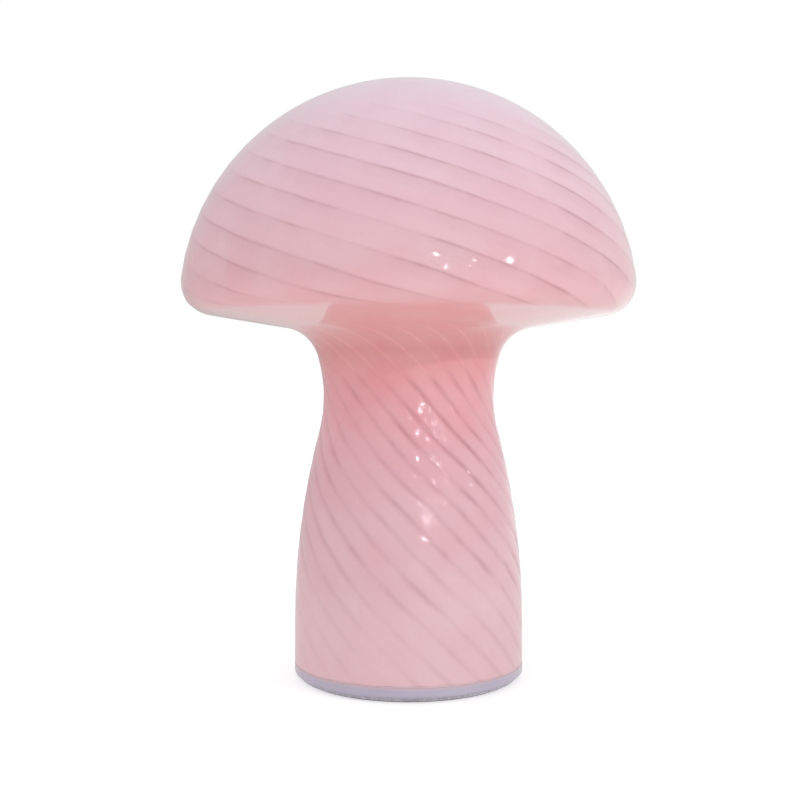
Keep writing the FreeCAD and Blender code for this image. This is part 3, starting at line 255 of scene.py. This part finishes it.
def moulded(name, low, high, rough, grain=2500.0, mottle=60.0, bump=0.15, reach=0.0001, **fixed):
    """Plastic, rubber or a coat, with a fine grain."""
    sockets = {"Grain Scale": grain, "Mottle Scale": mottle}
    return grained(name, low, high, rough, MOULDED_SPREAD, GRAIN, sockets, bump, reach, **fixed)


def metal(name, low, high, rough):
    """Bare metal, with long fine streaks."""
    sockets = {"Streak Scale": 900.0, "Stretch": 0.04}
    return grained(name, low, high, rough, METAL_SPREAD, BRUSHED, sockets, METAL_BUMP, METAL_REACH,
                   Metallic=1.0)


# The band under the ring's top edge where the glass's reflection is painted, and the colour of that painted
# reflection
PAINTED_REFLECTION_BAND = (0.0012, 0.0002)
PAINTED_REFLECTION_PINK = (0.58, 0.44, 0.50, 1.0)


def ring_plastic():
    """Glossy lilac trim, paler and pinker towards its top edge: a painted reflection of the glass that shines
    on it.
    """
    material = moulded("RingPlastic", (0.46, 0.42, 0.53), (0.50, 0.46, 0.57), 0.16, bump=0.03,
                       Coat_Weight=0.6, Coat_Roughness=0.05)
    wires = Wiring(material.node_tree)
    shader = next(node for node in material.node_tree.nodes if node.type == "BSDF_PRINCIPLED")
    plain = shader.inputs["Base Color"].links[0].from_socket
    place = wires.add("ShaderNodeTexCoord").outputs["Object"]
    level = wires.add("ShaderNodeSeparateXYZ", {0: place}).outputs["Z"]
    # Painted reflection of the pink glass, in a band under the ring's top edge
    painted_reflection = wires.blend(RING_TOP - PAINTED_REFLECTION_BAND[0], RING_TOP - PAINTED_REFLECTION_BAND[1], level)
    wires.tree.links.new(toned(wires, painted_reflection, plain, PAINTED_REFLECTION_PINK), shader.inputs["Base Color"])
    return material


# Share of red, green and blue that a line of the spiral takes from the glass
LINE_LOSS = (0.15, 0.21, 0.20)
# Colour of the glass by share of its height, its own pink with painted shade and light: reddest and darkest
# in the neck under the cap, lighter under the rim, paler at the crown
GLASS_PINKS_AND_PAINTED_SHADE = [
    (0.0, (0.77, 0.49, 0.53)), (0.16, (0.785, 0.49, 0.54)), (0.175, (0.78, 0.475, 0.525)),
    (0.36, (0.81, 0.46, 0.515)), (0.41, (0.85, 0.44, 0.49)), (0.51, (0.88, 0.38, 0.405)),
    (0.55, (0.82, 0.32, 0.32)), (0.60, (0.96, 0.49, 0.49)), (0.63, (0.94, 0.53, 0.565)),
    (0.66, (0.84, 0.485, 0.53)), (0.80, (0.81, 0.525, 0.61)), (1.0, (0.765, 0.59, 0.675))]
# A faint cloud of milky white in the coat
MILKY_WHITE = (0.9, 0.82, 0.85, 1.0)
CLOUD_RANGE = (0.3, 0.7)
CLOUD_SHARE = 0.12
# Lines on the cap, each with a painted shade under it, on the stem, and lines of painted light in the neck:
# widths in degrees round the axis, and weights
CAP_LINE_WIDTH = 0.8
CAP_LINE_WEIGHT = 0.5
CAP_SHADE_EDGE = 0.6
CAP_SHADE_FADE = 0.17
CAP_SHADE_WEIGHT = 0.36
ON_CAP_WEIGHT = 1.4
STEM_LINE_WIDTH = 1.5
ON_STEM_WEIGHT = 1.25
NECK_LIGHT_LINE_WIDTH = 0.7
NECK_LIGHT_LINE_WEIGHT = 0.5
# Patches of the coat where the lines are clearer
PATCHES = (0.38, 0.66)
BETWEEN_PATCHES = 0.3
# The lines are fainter on the left, a painted side shade for the light from the right: places across the
# lamp, and weights there, for all and for the stem
ALL_LINES_ACROSS = (-0.09, 0.07)
ALL_LINES_SIDE_SHADE = (0.8, 1.25)
STEM_LINES_ACROSS = (-0.05, 0.0)
STEM_LINES_SIDE_SHADE = (0.35, 1.0)
# Waves of the blown skin: their weight, where they come up off the underside and off the edge of the
# view, and how deep the lines dip among them
WAVE_WEIGHT = 0.55
WAVES_BY_TILT = (-0.6, -0.2)
WAVES_BY_FACING = (0.85, 0.5)
LINE_DIP = 0.12


def line_tint(wires, place):
    """How dark the spiral's lines are: a crisp line with a soft painted shade under it on the cap,
    a soft groove on the stem, and pale lines of painted light in the neck, which come out below 0."""
    across = wires.add("ShaderNodeSeparateXYZ", {0: place}).outputs["X"]

    def stored(name):
        return wires.add("ShaderNodeAttribute", attribute_name=name).outputs["Fac"]

    def from_line(name, lines):
        """Degrees round the axis from the nearest line."""
        turn = wires.math("ARCTAN2", stored(name + "_sine"), stored(name + "_cosine"))
        return wires.math("MULTIPLY", turn, math.degrees(1.0) / lines)

    def by_place(places, weights):
        """A weight that goes from the first to the second across the lamp."""
        least, most = weights
        return wires.math("ADD", least, wires.product(wires.blend(*places, across), most - least))

    cap_line, stem_line = from_line("cap", CAP_LINES), from_line("stem", STEM_LINES)
    # Painted shade under each line on the cap, as light from above leaves under a ridge
    fade = wires.math("EXPONENT", wires.product(wires.math("MINIMUM", cap_line, 0.0), CAP_SHADE_FADE))
    under = wires.product(fade, wires.blend(CAP_SHADE_EDGE, -CAP_SHADE_EDGE, cap_line), CAP_SHADE_WEIGHT)
    crisp = wires.product(wires.bell(cap_line, CAP_LINE_WIDTH), CAP_LINE_WEIGHT)
    patches = wires.add("ShaderNodeTexNoise", {"Vector": place, "Scale": 45.0, "Detail": 3.0})
    patchy = wires.math("ADD", BETWEEN_PATCHES, wires.blend(*PATCHES, patches.outputs["Fac"]))
    # Painted side shade: the lines darken towards the right, where the key lamp shades the grooves
    weight = wires.product(patchy, by_place(ALL_LINES_ACROSS, ALL_LINES_SIDE_SHADE))
    on_cap = wires.product(wires.math("ADD", under, crisp), stored("cap_share"), weight, ON_CAP_WEIGHT)
    # Painted side shade on the stem: its lines fade out towards the left edge
    clear = by_place(STEM_LINES_ACROSS, STEM_LINES_SIDE_SHADE)
    groove = wires.bell(stem_line, STEM_LINE_WIDTH)
    on_stem = wires.product(groove, stored("stem_share"), weight, clear, ON_STEM_WEIGHT)
    # Painted light: the lines in the neck are paler than the glass, where light from inside shines through
    # them
    pale = wires.product(wires.bell(stem_line, NECK_LIGHT_LINE_WIDTH), stored("neck_share"), NECK_LIGHT_LINE_WEIGHT)
    return wires.math("SUBTRACT", wires.math("ADD", on_cap, on_stem), pale)


def pink_glass():
    """Cased opal glass: a pale pink coat over white, glossy, with a faint cloud and waves, and painted shade
    and light in its colour.
    """
    material, wires, shader = new_material("PinkGlass")
    link = wires.tree.links.new
    place = wires.add("ShaderNodeTexCoord").outputs["Object"]
    level = wires.add("ShaderNodeSeparateXYZ", {0: place}).outputs["Z"]
    share = wires.blend(0.0, TOTAL_HEIGHT * MM, level, smooth=False)
    # Colour by height, with painted shade in the neck and painted light under the rim and at the crown
    ramp = wires.add("ShaderNodeValToRGB", {"Fac": share})
    while len(ramp.color_ramp.elements) < len(GLASS_PINKS_AND_PAINTED_SHADE):
        ramp.color_ramp.elements.new(0.5)
    for element, (position, colour) in zip(ramp.color_ramp.elements, GLASS_PINKS_AND_PAINTED_SHADE):
        element.position = position
        element.color = (*colour, 1.0)
    cloud = wires.add("ShaderNodeTexNoise", {"Vector": place, "Scale": 60.0, "Detail": 5.0})
    milk = wires.product(wires.blend(*CLOUD_RANGE, cloud.outputs["Fac"]), CLOUD_SHARE)
    milky = toned(wires, milk, ramp.outputs[0], MILKY_WHITE)
    lines = line_tint(wires, place)
    loss = wires.add("ShaderNodeVectorMath", {0: LINE_LOSS}, operation="SCALE")
    link(lines, loss.inputs["Scale"])
    kept = wires.add("ShaderNodeVectorMath", {0: (1.0, 1.0, 1.0), 1: loss.outputs[0]}, operation="SUBTRACT")
    lined = wires.add("ShaderNodeVectorMath", {0: milky, 1: kept.outputs[0]}, operation="MULTIPLY")
    link(lined.outputs[0], shader.inputs["Base Color"])
    # The blown skin waves a little, but not on the underside, and dips at the lines
    normal = wires.add("ShaderNodeNewGeometry").outputs["Normal"]
    upright = wires.blend(*WAVES_BY_TILT, wires.add("ShaderNodeSeparateXYZ", {0: normal}).outputs["Z"])
    facing = wires.add("ShaderNodeLayerWeight", {"Blend": 0.5}).outputs["Facing"]
    waves = wires.add("ShaderNodeTexNoise", {"Vector": place, "Scale": 180.0, "Detail": 3.0}).outputs["Fac"]
    turned = wires.blend(*WAVES_BY_FACING, facing)
    ripple = wires.product(wires.math("SUBTRACT", waves, 0.5), upright, turned, WAVE_WEIGHT)
    skin = wires.math("SUBTRACT", ripple, wires.product(lines, LINE_DIP))
    relief = wires.add("ShaderNodeBump", {"Strength": 0.5, "Distance": 0.001, "Height": skin})
    link(relief.outputs[0], shader.inputs["Normal"])
    shader.inputs["Roughness"].default_value = 0.05
    shader.inputs["IOR"].default_value = 1.5
    return material


def finishes():
    """One finish for each material slot of the record."""
    red = ((0.62, 0.03, 0.025), (0.68, 0.04, 0.03))
    black = ((0.012, 0.012, 0.013), (0.02, 0.02, 0.021))
    grey = ((0.10, 0.10, 0.11), (0.13, 0.13, 0.14))
    white = ((0.78, 0.77, 0.75), (0.83, 0.82, 0.80))
    return {
        "pink_glass": pink_glass(),
        "ring_plastic": ring_plastic(),
        "clear_silicone": moulded("ClearSilicone", (0.70, 0.54, 0.58), (0.75, 0.59, 0.63), 0.45),
        "white_plastic": moulded("WhitePlastic", *white, 0.45),
        "plate_plastic": moulded("PlatePlastic", (0.44, 0.42, 0.47), (0.60, 0.58, 0.63), 0.62,
                                 grain=1800.0, mottle=700.0, bump=0.5),
        "foot_rubber": moulded("FootRubber", (0.16, 0.155, 0.17), (0.24, 0.235, 0.25), 0.85,
                               grain=1200.0, mottle=500.0, bump=0.8, reach=0.0002),
        "screw_steel": metal("ScrewSteel", (0.52, 0.52, 0.53), (0.60, 0.60, 0.62), 0.35),
        "plate_aluminium": metal("PlateAluminium", (0.72, 0.72, 0.73), (0.80, 0.80, 0.81), 0.4),
        "led_board_white": moulded("BoardWhite", (0.80, 0.80, 0.77), (0.84, 0.84, 0.81), 0.3),
        "led_phosphor": moulded("LampPhosphor", (0.82, 0.55, 0.08), (0.88, 0.62, 0.12), 0.35),
        "opal_plastic": moulded("OpalPlastic", (0.84, 0.82, 0.76), (0.88, 0.86, 0.80), 0.4,
                                Transmission_Weight=0.25),
        "board_laminate": moulded("BoardLaminate", (0.005, 0.06, 0.02), (0.01, 0.09, 0.03), 0.3),
        "chip_plastic": moulded("ChipPlastic", *black, 0.55),
        "port_steel": metal("PortSteel", (0.62, 0.62, 0.63), (0.70, 0.70, 0.71), 0.25),
        "black_plastic": moulded("BlackPlastic", *black, 0.4),
        "clear_lens": moulded("ClearLens", (0.85, 0.85, 0.88), (0.9, 0.9, 0.92), 0.1, bump=0.02,
                              Transmission_Weight=0.7),
        "cell_sleeve": moulded("CellSleeve", (0.03, 0.17, 0.32), (0.04, 0.2, 0.36), 0.25, grain=600.0),
        "grey_plastic": moulded("GreyPlastic", *grey, 0.5),
        "nickel_strip": metal("NickelStrip", (0.66, 0.62, 0.56), (0.72, 0.68, 0.62), 0.3),
        "red_insulation": moulded("RedInsulation", *red, 0.35, grain=900.0),
        "black_insulation": moulded("BlackInsulation", *black, 0.35, grain=900.0),
    }


FINISHES = finishes()


# ---------------------------------------------------------------- glass

def outline(wall):
    """The half outline from the top down, moved inwards by the wall: arc length, radius, level."""
    wide_level = TOTAL_HEIGHT - CAP_HEIGHT
    neck_level = wide_level - NECK_DROP
    across = CAP_RADIUS - SHOULDER_RADIUS
    crown = (across ** 2 + CAP_HEIGHT ** 2 - SHOULDER_RADIUS ** 2) / (2 * (CAP_HEIGHT - SHOULDER_RADIUS))
    crown_centre = np.array([0.0, TOTAL_HEIGHT - crown])
    shoulder_centre = np.array([across, wide_level])
    rim_centre = np.array([CAP_RADIUS - RIM_RADIUS, wide_level])
    crown_end = math.atan2(*(shoulder_centre - crown_centre)[::-1])
    rim_end = UNDERSIDE_SLOPE - math.pi / 2
    under = np.array([math.cos(rim_end), math.sin(rim_end)])
    inward = -np.array([math.cos(UNDERSIDE_SLOPE), math.sin(UNDERSIDE_SLOPE)])
    start = rim_centre + under * (RIM_RADIUS + UNDERSIDE_FILLET)
    throat_centre = np.array([NECK_RADIUS + THROAT_RADIUS, neck_level])
    away = start - throat_centre
    half = away @ inward
    slide = -half + math.sqrt(half ** 2 - away @ away + (THROAT_RADIUS - UNDERSIDE_FILLET) ** 2)
    fillet_centre = start + inward * slide
    gap = NECK_RADIUS + THROAT_RADIUS - STEM_RADIUS
    drop = neck_level - STRAIGHT_LEVEL
    belly = (gap ** 2 + drop ** 2 - THROAT_RADIUS ** 2) / (2 * (THROAT_RADIUS - gap))
    belly_centre = np.array([STEM_RADIUS - belly, STRAIGHT_LEVEL])
    fillet_turn = math.atan2(*(fillet_centre - throat_centre)[::-1])
    belly_turn = math.atan2(*(throat_centre - belly_centre)[::-1])
    # Centre, radius, first and last angle of each arc, from the crown to the foot
    chain = [
        (crown_centre, crown - wall, math.pi / 2, crown_end),
        (shoulder_centre, SHOULDER_RADIUS - wall, crown_end, 0.0),
        (rim_centre, RIM_RADIUS - wall, 0.0, rim_end),
        (fillet_centre, UNDERSIDE_FILLET + wall, rim_end + math.pi, fillet_turn),
        (throat_centre, THROAT_RADIUS + wall, fillet_turn, belly_turn + math.pi),
        (belly_centre, belly - wall, belly_turn, 0.0),
    ]
    points = []
    for centre, radius, begin, end in chain:
        count = max(4, int(abs(end - begin) * radius / OUTLINE_STEP))
        turns = np.linspace(begin, end, count)
        points.append(centre + radius * np.column_stack([np.cos(turns), np.sin(turns)]))
    points = np.vstack(points)
    points = np.vstack([points, [STEM_RADIUS - wall, GLASS_FOOT]])
    points[0, 0] = 0.0
    run = np.concatenate([[0.0], np.cumsum(np.hypot(*np.diff(points, axis=0).T))])
    return run, points[:, 0], points[:, 1]


def twist(along):
    """Angle in degrees that the spiral has turned at an arc length from the top."""
    cap_end = CAP_PHASE + CAP_TWIST * (CAP_TWIST_END - CAP_PHASE_AT)
    foot_start = STEM_PHASE + STEM_TWIST * (FOOT_TWIST_FROM - STEM_PHASE_AT)
    if along <= CAP_TWIST_END:
        return CAP_PHASE + CAP_TWIST * (along - CAP_PHASE_AT)
    if along <= STEM_PHASE_AT:
        length = STEM_PHASE_AT - CAP_TWIST_END
        t = (along - CAP_TWIST_END) / length
        from_cap = (2 * t ** 3 - 3 * t ** 2 + 1) * cap_end + (t ** 3 - 2 * t ** 2 + t) * length * CAP_TWIST
        to_stem = (3 * t ** 2 - 2 * t ** 3) * STEM_PHASE + (t ** 3 - t ** 2) * length * STEM_TWIST
        return from_cap + to_stem
    if along <= FOOT_TWIST_FROM:
        return STEM_PHASE + STEM_TWIST * (along - STEM_PHASE_AT)
    return foot_start + FOOT_TWIST * (along - FOOT_TWIST_FROM)


def shell_rows():
    """Rings from the top down the outside, round the foot and up the inside of the glass:
    the arc length, radius and level of each, and how far the spiral turns it."""
    run, radius, level = outline(0.0)
    length = run[-1]
    outer = np.linspace(0.0, length - FOOT_ROUND, int(length / ROW_STEP))[1:]
    rows = [(a, np.interp(a, run, radius), np.interp(a, run, level), twist(a)) for a in outer]
    last_twist = twist(length)
    for turn in EDGE_TURNS[1:]:
        bend = math.radians(turn)
        rows.append((length, STEM_RADIUS - FOOT_ROUND * (1 - math.cos(bend)),
                     GLASS_FOOT + FOOT_ROUND * (1 - math.sin(bend)), last_twist))
    bore = STEM_RADIUS - WALL
    for turn in EDGE_TURNS:
        bend = math.radians(turn)
        rows.append((INNER_FACE, bore + FOOT_ROUND * (1 - math.sin(bend)),
                     GLASS_FOOT + FOOT_ROUND * (1 - math.cos(bend)), last_twist))
    run, radius, level = outline(WALL)
    inner = np.linspace(run[-1] - FOOT_ROUND, 0.0, int(run[-1] / INNER_ROW_STEP))[1:-1]
    rows += [(INNER_FACE, np.interp(a, run, radius), np.interp(a, run, level), last_twist) for a in inner]
    return rows


def glass_blank():
    """The smooth closed shell, with the column angle and the arc length stored on its points."""
    rows = shell_rows()
    step = 360.0 / COLUMNS
    turns = np.arange(COLUMNS) * step
    verts, angles, downs = [(0.0, 0.0, TOTAL_HEIGHT * MM)], [0.0], [0.0]
    for down, r, z, turned in rows:
        phi = np.radians(turns + turned)
        verts += list(zip(r * np.sin(phi) * MM, -r * np.cos(phi) * MM, np.full(COLUMNS, z * MM)))
        angles += list(turns)
        downs += [down] * COLUMNS
    verts.append((0.0, 0.0, (TOTAL_HEIGHT - WALL) * MM))
    angles.append(0.0)
    downs.append(INNER_FACE)
    last = len(verts) - 1
    faces = [(0, 1 + c, 1 + (c + 1) % COLUMNS) for c in range(COLUMNS)]
    for row in range(len(rows) - 1):
        here, below = 1 + row * COLUMNS, 1 + (row + 1) * COLUMNS
        for c in range(COLUMNS):
            beside = (c + 1) % COLUMNS
            faces.append((here + c, below + c, below + beside, here + beside))
    here = 1 + (len(rows) - 1) * COLUMNS
    faces += [(here + c, last, here + (c + 1) % COLUMNS) for c in range(COLUMNS)]
    mesh = bpy.data.meshes.new("glass_blank")
    mesh.from_pydata(verts, [], faces)
    for name, values in (("line_angle", angles), ("down", downs)):
        mesh.attributes.new(name, "FLOAT", "POINT").data.foreach_set("value", values)
    return mesh


def spiral_tree():
    """Cuts the spiral into the shell: concave flutes on the cap, narrow grooves on the stem.

    Depths are in metres; the width of a groove and how far the lines stray, in degrees round the axis.
    """
    tree, wires, entry, leave = new_group(
        "SpiralRibs", "GeometryNodeTree",
        [("Geometry", "NodeSocketGeometry", None), ("Material", "NodeSocketMaterial", None),
         ("Cap Lines", "NodeSocketInt", CAP_LINES), ("Stem Lines", "NodeSocketInt", STEM_LINES),
         ("Flute Depth", "NodeSocketFloat", 0.00015), ("Groove Depth", "NodeSocketFloat", 0.00025),
         ("Groove Width", "NodeSocketFloat", 1.8), ("Waver", "NodeSocketFloat", 0.9),
         ("Wander", "NodeSocketFloat", 2.6), ("Wave Depth", "NodeSocketFloat", 0.0001),
         ("Seed", "NodeSocketInt", 3)],
        [("Geometry", "NodeSocketGeometry")])
    given = entry.outputs
    math_node, product = wires.math, wires.product

    def stored(name):
        return wires.add("GeometryNodeInputNamedAttribute", {"Name": name},
                         data_type="FLOAT").outputs["Attribute"]

    angle, down = stored("line_angle"), stored("down")
    drift = wires.add("ShaderNodeTexNoise", {"Scale": 60.0, "Detail": 4.0, "Roughness": 0.65}).outputs["Fac"]
    wander = math_node("MULTIPLY", math_node("SUBTRACT", drift, 0.5), given["Wander"])

    def from_line(lines):
        """Signed angle from the nearest of the lines, each a little out of place."""
        gap = math_node("DIVIDE", 360.0, lines)
        place = math_node("DIVIDE", angle, gap)
        nearest = math_node("FLOOR", math_node("ADD", place, 0.5))
        number = math_node("MODULO", nearest, lines)
        # Sockets 2 and 3 are the least and the most, 7 is the line's number and 8 the seed
        chance = wires.add("FunctionNodeRandomValue", {2: -1.0, 3: 1.0, 7: number, 8: given["Seed"]},
                           data_type="FLOAT").outputs[1]
        off = math_node("ADD", math_node("MULTIPLY", chance, given["Waver"]), wander)
        distance = math_node("MULTIPLY", math_node("SUBTRACT", place, nearest), gap)
        return math_node("SUBTRACT", distance, off), gap

    cap_line, cap_gap = from_line(given["Cap Lines"])
    stem_line, _ = from_line(given["Stem Lines"])
    cap_share = product(wires.blend(*CAP_LINES_COME, down), wires.blend(*CAP_LINES_GO, down))
    # Where the neck's lines of painted light show
    neck_share = product(wires.blend(*NECK_LIGHT_LINES_COME, down), wires.blend(*NECK_LIGHT_LINES_GO, down))
    above_foot = product(wires.blend(*STEM_LINES_WEAKEN, down), 1.0 - SHARE_AT_FOOT)
    stem_share = product(wires.blend(*STEM_LINES_COME, down), math_node("ADD", SHARE_AT_FOOT, above_foot))

    # Flutes on the cap, deepest midway between two ridges, and grooves on the stem
    aside = math_node("MINIMUM", math_node("DIVIDE", math_node("ABSOLUTE", cap_line),
                                           product(cap_gap, 0.5)), 1.0)
    crest = math_node("POWER", math_node("SUBTRACT", 1.0, aside), 2.0)
    flute = product(math_node("SUBTRACT", 1.0, crest), cap_share, given["Flute Depth"])
    groove = product(wires.bell(stem_line, given["Groove Width"]), stem_share, given["Groove Depth"])
    noise = wires.add("ShaderNodeTexNoise", {"Scale": 38.0, "Detail": 1.0}).outputs["Fac"]
    wave = product(noise, given["Wave Depth"], wires.blend(0.0, STILL_CROWN, down))
    cut = math_node("ADD", math_node("ADD", flute, groove), wave)
    normal = wires.add("GeometryNodeInputNormal").outputs[0]
    shift = wires.add("ShaderNodeVectorMath", {0: normal}, operation="SCALE")
    wires.tree.links.new(math_node("MULTIPLY", cut, -1.0), shift.inputs["Scale"])
    shape = wires.add("GeometryNodeSetPosition", {"Geometry": given["Geometry"], "Offset": shift.outputs[0]})
    stores = [("cap_share", cap_share), ("stem_share", stem_share), ("neck_share", neck_share)]
    for name, line in (("Cap", cap_line), ("Stem", stem_line)):
        turn = product(line, given[name + " Lines"], math.radians(1.0))
        stores += [(name.lower() + "_sine", math_node("SINE", turn)),
                   (name.lower() + "_cosine", math_node("COSINE", turn))]
    for name, value in stores:
        shape = wires.add("GeometryNodeStoreNamedAttribute",
                          {"Geometry": shape.outputs[0], "Name": name, "Value": value},
                          data_type="FLOAT", domain="POINT")
    smooth = wires.add("GeometryNodeSetShadeSmooth", {0: shape.outputs[0]})
    real = wires.add("GeometryNodeRealizeInstances", {0: smooth.outputs[0]})
    coated = wires.add("GeometryNodeSetMaterial", {"Geometry": real.outputs[0],
                                                   "Material": given["Material"]})
    wires.tree.links.new(coated.outputs[0], leave.inputs["Geometry"])
    return tree


def grown(name, blank, tree, values):
    """Runs a node tree on a mesh and keeps what it makes as a plain piece."""
    holder = bpy.data.objects.new(name, blank)
    bpy.context.collection.objects.link(holder)
    modifier = holder.modifiers.new("Growth", "NODES")
    modifier.node_group = tree
    for socket in tree.interface.items_tree:
        if socket.in_out == "INPUT" and socket.name in values:
            modifier[socket.identifier] = values[socket.name]
    depsgraph = bpy.context.evaluated_depsgraph_get()
    mesh = bpy.data.meshes.new_from_object(holder.evaluated_get(depsgraph), depsgraph=depsgraph,
                                           preserve_all_data_layers=True)
    holder.modifiers.clear()
    holder.data = mesh
    return holder


glass = grown("glass_shell", glass_blank(), spiral_tree(), {"Material": FINISHES["pink_glass"]})
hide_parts("glass_body")
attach(glass, "root")


# ---------------------------------------------------------------- carried-over pieces

# Every piece keeps its solid, apart from the glass, and gets its finish
for row in frame["record"]["subparts"]:
    node = frame["nodes"][row["node"]]
    node.data.materials.clear()
    node.data.materials.append(FINISHES[row["material_slot"]])


# ---------------------------------------------------------------- studio

# Lamps: azimuth from the front to the right and elevation in degrees, size in metres, power in watts
KEY = (53.0, 21.0, 0.012, 1.7)
OVERHEAD = (0.0, 70.0, 0.7, 0.8)
LAMP_DISTANCE = 1.2
LAMP_AIM = Vector((0.0, 0.0, 0.12))
# Small far lamps that show only as glints: azimuth, elevation and power
GLINTS = [(11.0, 21.0, 0.2), (18.0, 7.0, 0.4), (27.0, 24.0, 0.35), (32.0, 14.0, 0.4), (48.0, 18.0, 0.4),
          (74.0, 12.0, 0.2)]
GLINT_SIZE = 0.010
# Light of the surroundings, and its share on the left and right, for shading and in reflections,
# with how far to the side each share is reached
WORLD_LIGHT = 0.98
LIGHT_REACH = 1.0
MIRROR_REACH = 0.6
LEFT_SHARE = 1.0
RIGHT_SHARE = 0.84
LEFT_MIRRORED = 0.55
RIGHT_MIRRORED = 0.9
# Floor: half its width, its level just under the foot, and its paleness this far to the left and right,
# darker on the left as a painted shade for the light from the right
FLOOR_HALF = 30.0
FLOOR_LEVEL = -0.00005
FLOOR_REACH = 0.4
FLOOR_LEFT = 0.58
FLOOR_RIGHT = 0.64
# Glow of the floor for the light that it sends up, strongest in front of the lamp, and for its mirror image
GLOW_MIDDLE = 0.34
GLOW_WIDTH = 0.15
GLOW_RIGHT_MIRRORED = 0.46
# Glow that brings the floor to white in the view: what it takes in all, less the light on its paleness
GLOW_TO_WHITE = 1.1
LIGHT_ON_FLOOR = 0.9
# Camera: sensor and frame widths, focal length and shift in pixels of the frame, place, and dip in degrees
SENSOR_WIDTH = 36.0
FRAME_WIDTH = 800.0
FOCAL_LENGTH = 1184.0
FRAME_SHIFT = -8.6
CAMERA_PLACE = (0.0, -0.4622, 0.1175)
CAMERA_DIP = 1.27


def by_ray(wires, lighting, mirrored, seen):
    """One strength for the rays that shade, one for mirrored rays, one for what the view shows."""
    path = wires.add("ShaderNodeLightPath").outputs
    strength = lighting
    # Sockets 2 and 3 are the two strengths that are mixed
    for ray, other in (("Is Glossy Ray", mirrored), ("Is Transmission Ray", seen), ("Is Camera Ray", seen)):
        strength = wires.add("ShaderNodeMix", {"Factor": path[ray], 2: strength, 3: other},
                             data_type="FLOAT").outputs[0]
    return strength


def from_left_to_right(wires, value, reach, left, right):
    """A value that goes from left at -reach to right at reach."""
    node = wires.add("ShaderNodeMapRange", {"Value": value, "From Min": -reach, "From Max": reach,
                                            "To Min": left, "To Max": right})
    return node.outputs["Result"]


def studio_world():
    """White where it is seen, dimmer on the right where it lights and on the left where it is mirrored."""
    world = bpy.data.worlds.new("Studio")
    world.use_nodes = True
    world.node_tree.nodes.clear()
    wires = Wiring(world.node_tree)
    way = wires.add("ShaderNodeTexCoord").outputs["Generated"]
    side = wires.add("ShaderNodeSeparateXYZ", {0: way}).outputs["X"]
    share = from_left_to_right(wires, side, LIGHT_REACH, LEFT_SHARE, RIGHT_SHARE)
    lighting = wires.product(share, WORLD_LIGHT)
    mirrored = from_left_to_right(wires, side, MIRROR_REACH, LEFT_MIRRORED, RIGHT_MIRRORED)
    strength = by_ray(wires, lighting, mirrored, 1.0)
    back = wires.add("ShaderNodeBackground", {"Color": (1.0, 1.0, 1.0, 1.0), "Strength": strength})
    leave = wires.add("ShaderNodeOutputWorld")
    wires.tree.links.new(back.outputs[0], leave.inputs["Surface"])
    bpy.context.scene.world = world


def studio_floor():
    """Wide pale floor that is white where it is seen and keeps the shadow."""
    corners = ((-1, -1), (1, -1), (1, 1), (-1, 1))
    mesh = bpy.data.meshes.new("floor")
    mesh.from_pydata([(x * FLOOR_HALF, y * FLOOR_HALF, FLOOR_LEVEL) for x, y in corners], [], [(0, 1, 2, 3)])
    floor = bpy.data.objects.new("floor", mesh)
    bpy.context.collection.objects.link(floor)
    material = bpy.data.materials.new("PaleFloor")
    material.use_nodes = True
    material.node_tree.nodes.clear()
    wires = Wiring(material.node_tree)
    place = wires.add("ShaderNodeTexCoord").outputs["Object"]
    side = wires.add("ShaderNodeSeparateXYZ", {0: place}).outputs["X"]
    # The floor's paleness is a painted shade, darker on the left, for light that falls from the right
    paleness = from_left_to_right(wires, side, FLOOR_REACH, FLOOR_LEFT, FLOOR_RIGHT)
    lighting = wires.product(wires.bell(side, GLOW_WIDTH), GLOW_MIDDLE)
    mirrored = from_left_to_right(wires, side, FLOOR_REACH, 0.0, GLOW_RIGHT_MIRRORED)
    to_white = wires.math("SUBTRACT", GLOW_TO_WHITE, wires.product(paleness, LIGHT_ON_FLOOR))
    matt = wires.add("ShaderNodeBsdfDiffuse", {"Color": paleness})
    glow = wires.add("ShaderNodeEmission", {"Strength": by_ray(wires, lighting, mirrored, to_white)})
    both = wires.add("ShaderNodeAddShader", {0: matt.outputs[0], 1: glow.outputs[0]})
    leave = wires.add("ShaderNodeOutputMaterial")
    wires.tree.links.new(both.outputs[0], leave.inputs["Surface"])
    mesh.materials.append(material)


def disk_lamp(name, azimuth, elevation, size, watts):
    """A round lamp that looks at the middle of the object."""
    turn, rise = math.radians(azimuth), math.radians(elevation)
    away = Vector((math.sin(turn) * math.cos(rise), -math.cos(turn) * math.cos(rise), math.sin(rise)))
    light = bpy.data.lights.new(name, "AREA")
    light.shape = "DISK"
    light.size = size
    light.energy = watts
    lamp = bpy.data.objects.new(name, light)
    bpy.context.collection.objects.link(lamp)
    lamp.location = LAMP_AIM + away * LAMP_DISTANCE
    lamp.rotation_euler = away.to_track_quat("Z", "Y").to_euler()
    return lamp


studio_world()
studio_floor()
disk_lamp("key", *KEY).visible_glossy = False
disk_lamp("overhead", *OVERHEAD).visible_glossy = False
for number, (azimuth, elevation, watts) in enumerate(GLINTS):
    disk_lamp(f"glint_{number}", azimuth, elevation, GLINT_SIZE, watts).visible_diffuse = False

camera_data = bpy.data.cameras.new("Camera")
camera_data.sensor_width = SENSOR_WIDTH
camera_data.lens = SENSOR_WIDTH * FOCAL_LENGTH / FRAME_WIDTH
camera_data.shift_x = FRAME_SHIFT / FRAME_WIDTH
camera = bpy.data.objects.new("Camera", camera_data)
camera.location = CAMERA_PLACE
camera.rotation_euler = (math.radians(90.0 - CAMERA_DIP), 0.0, 0.0)
bpy.context.collection.objects.link(camera)
bpy.context.scene.camera = camera
bpy.context.scene.view_settings.view_transform = "Standard"
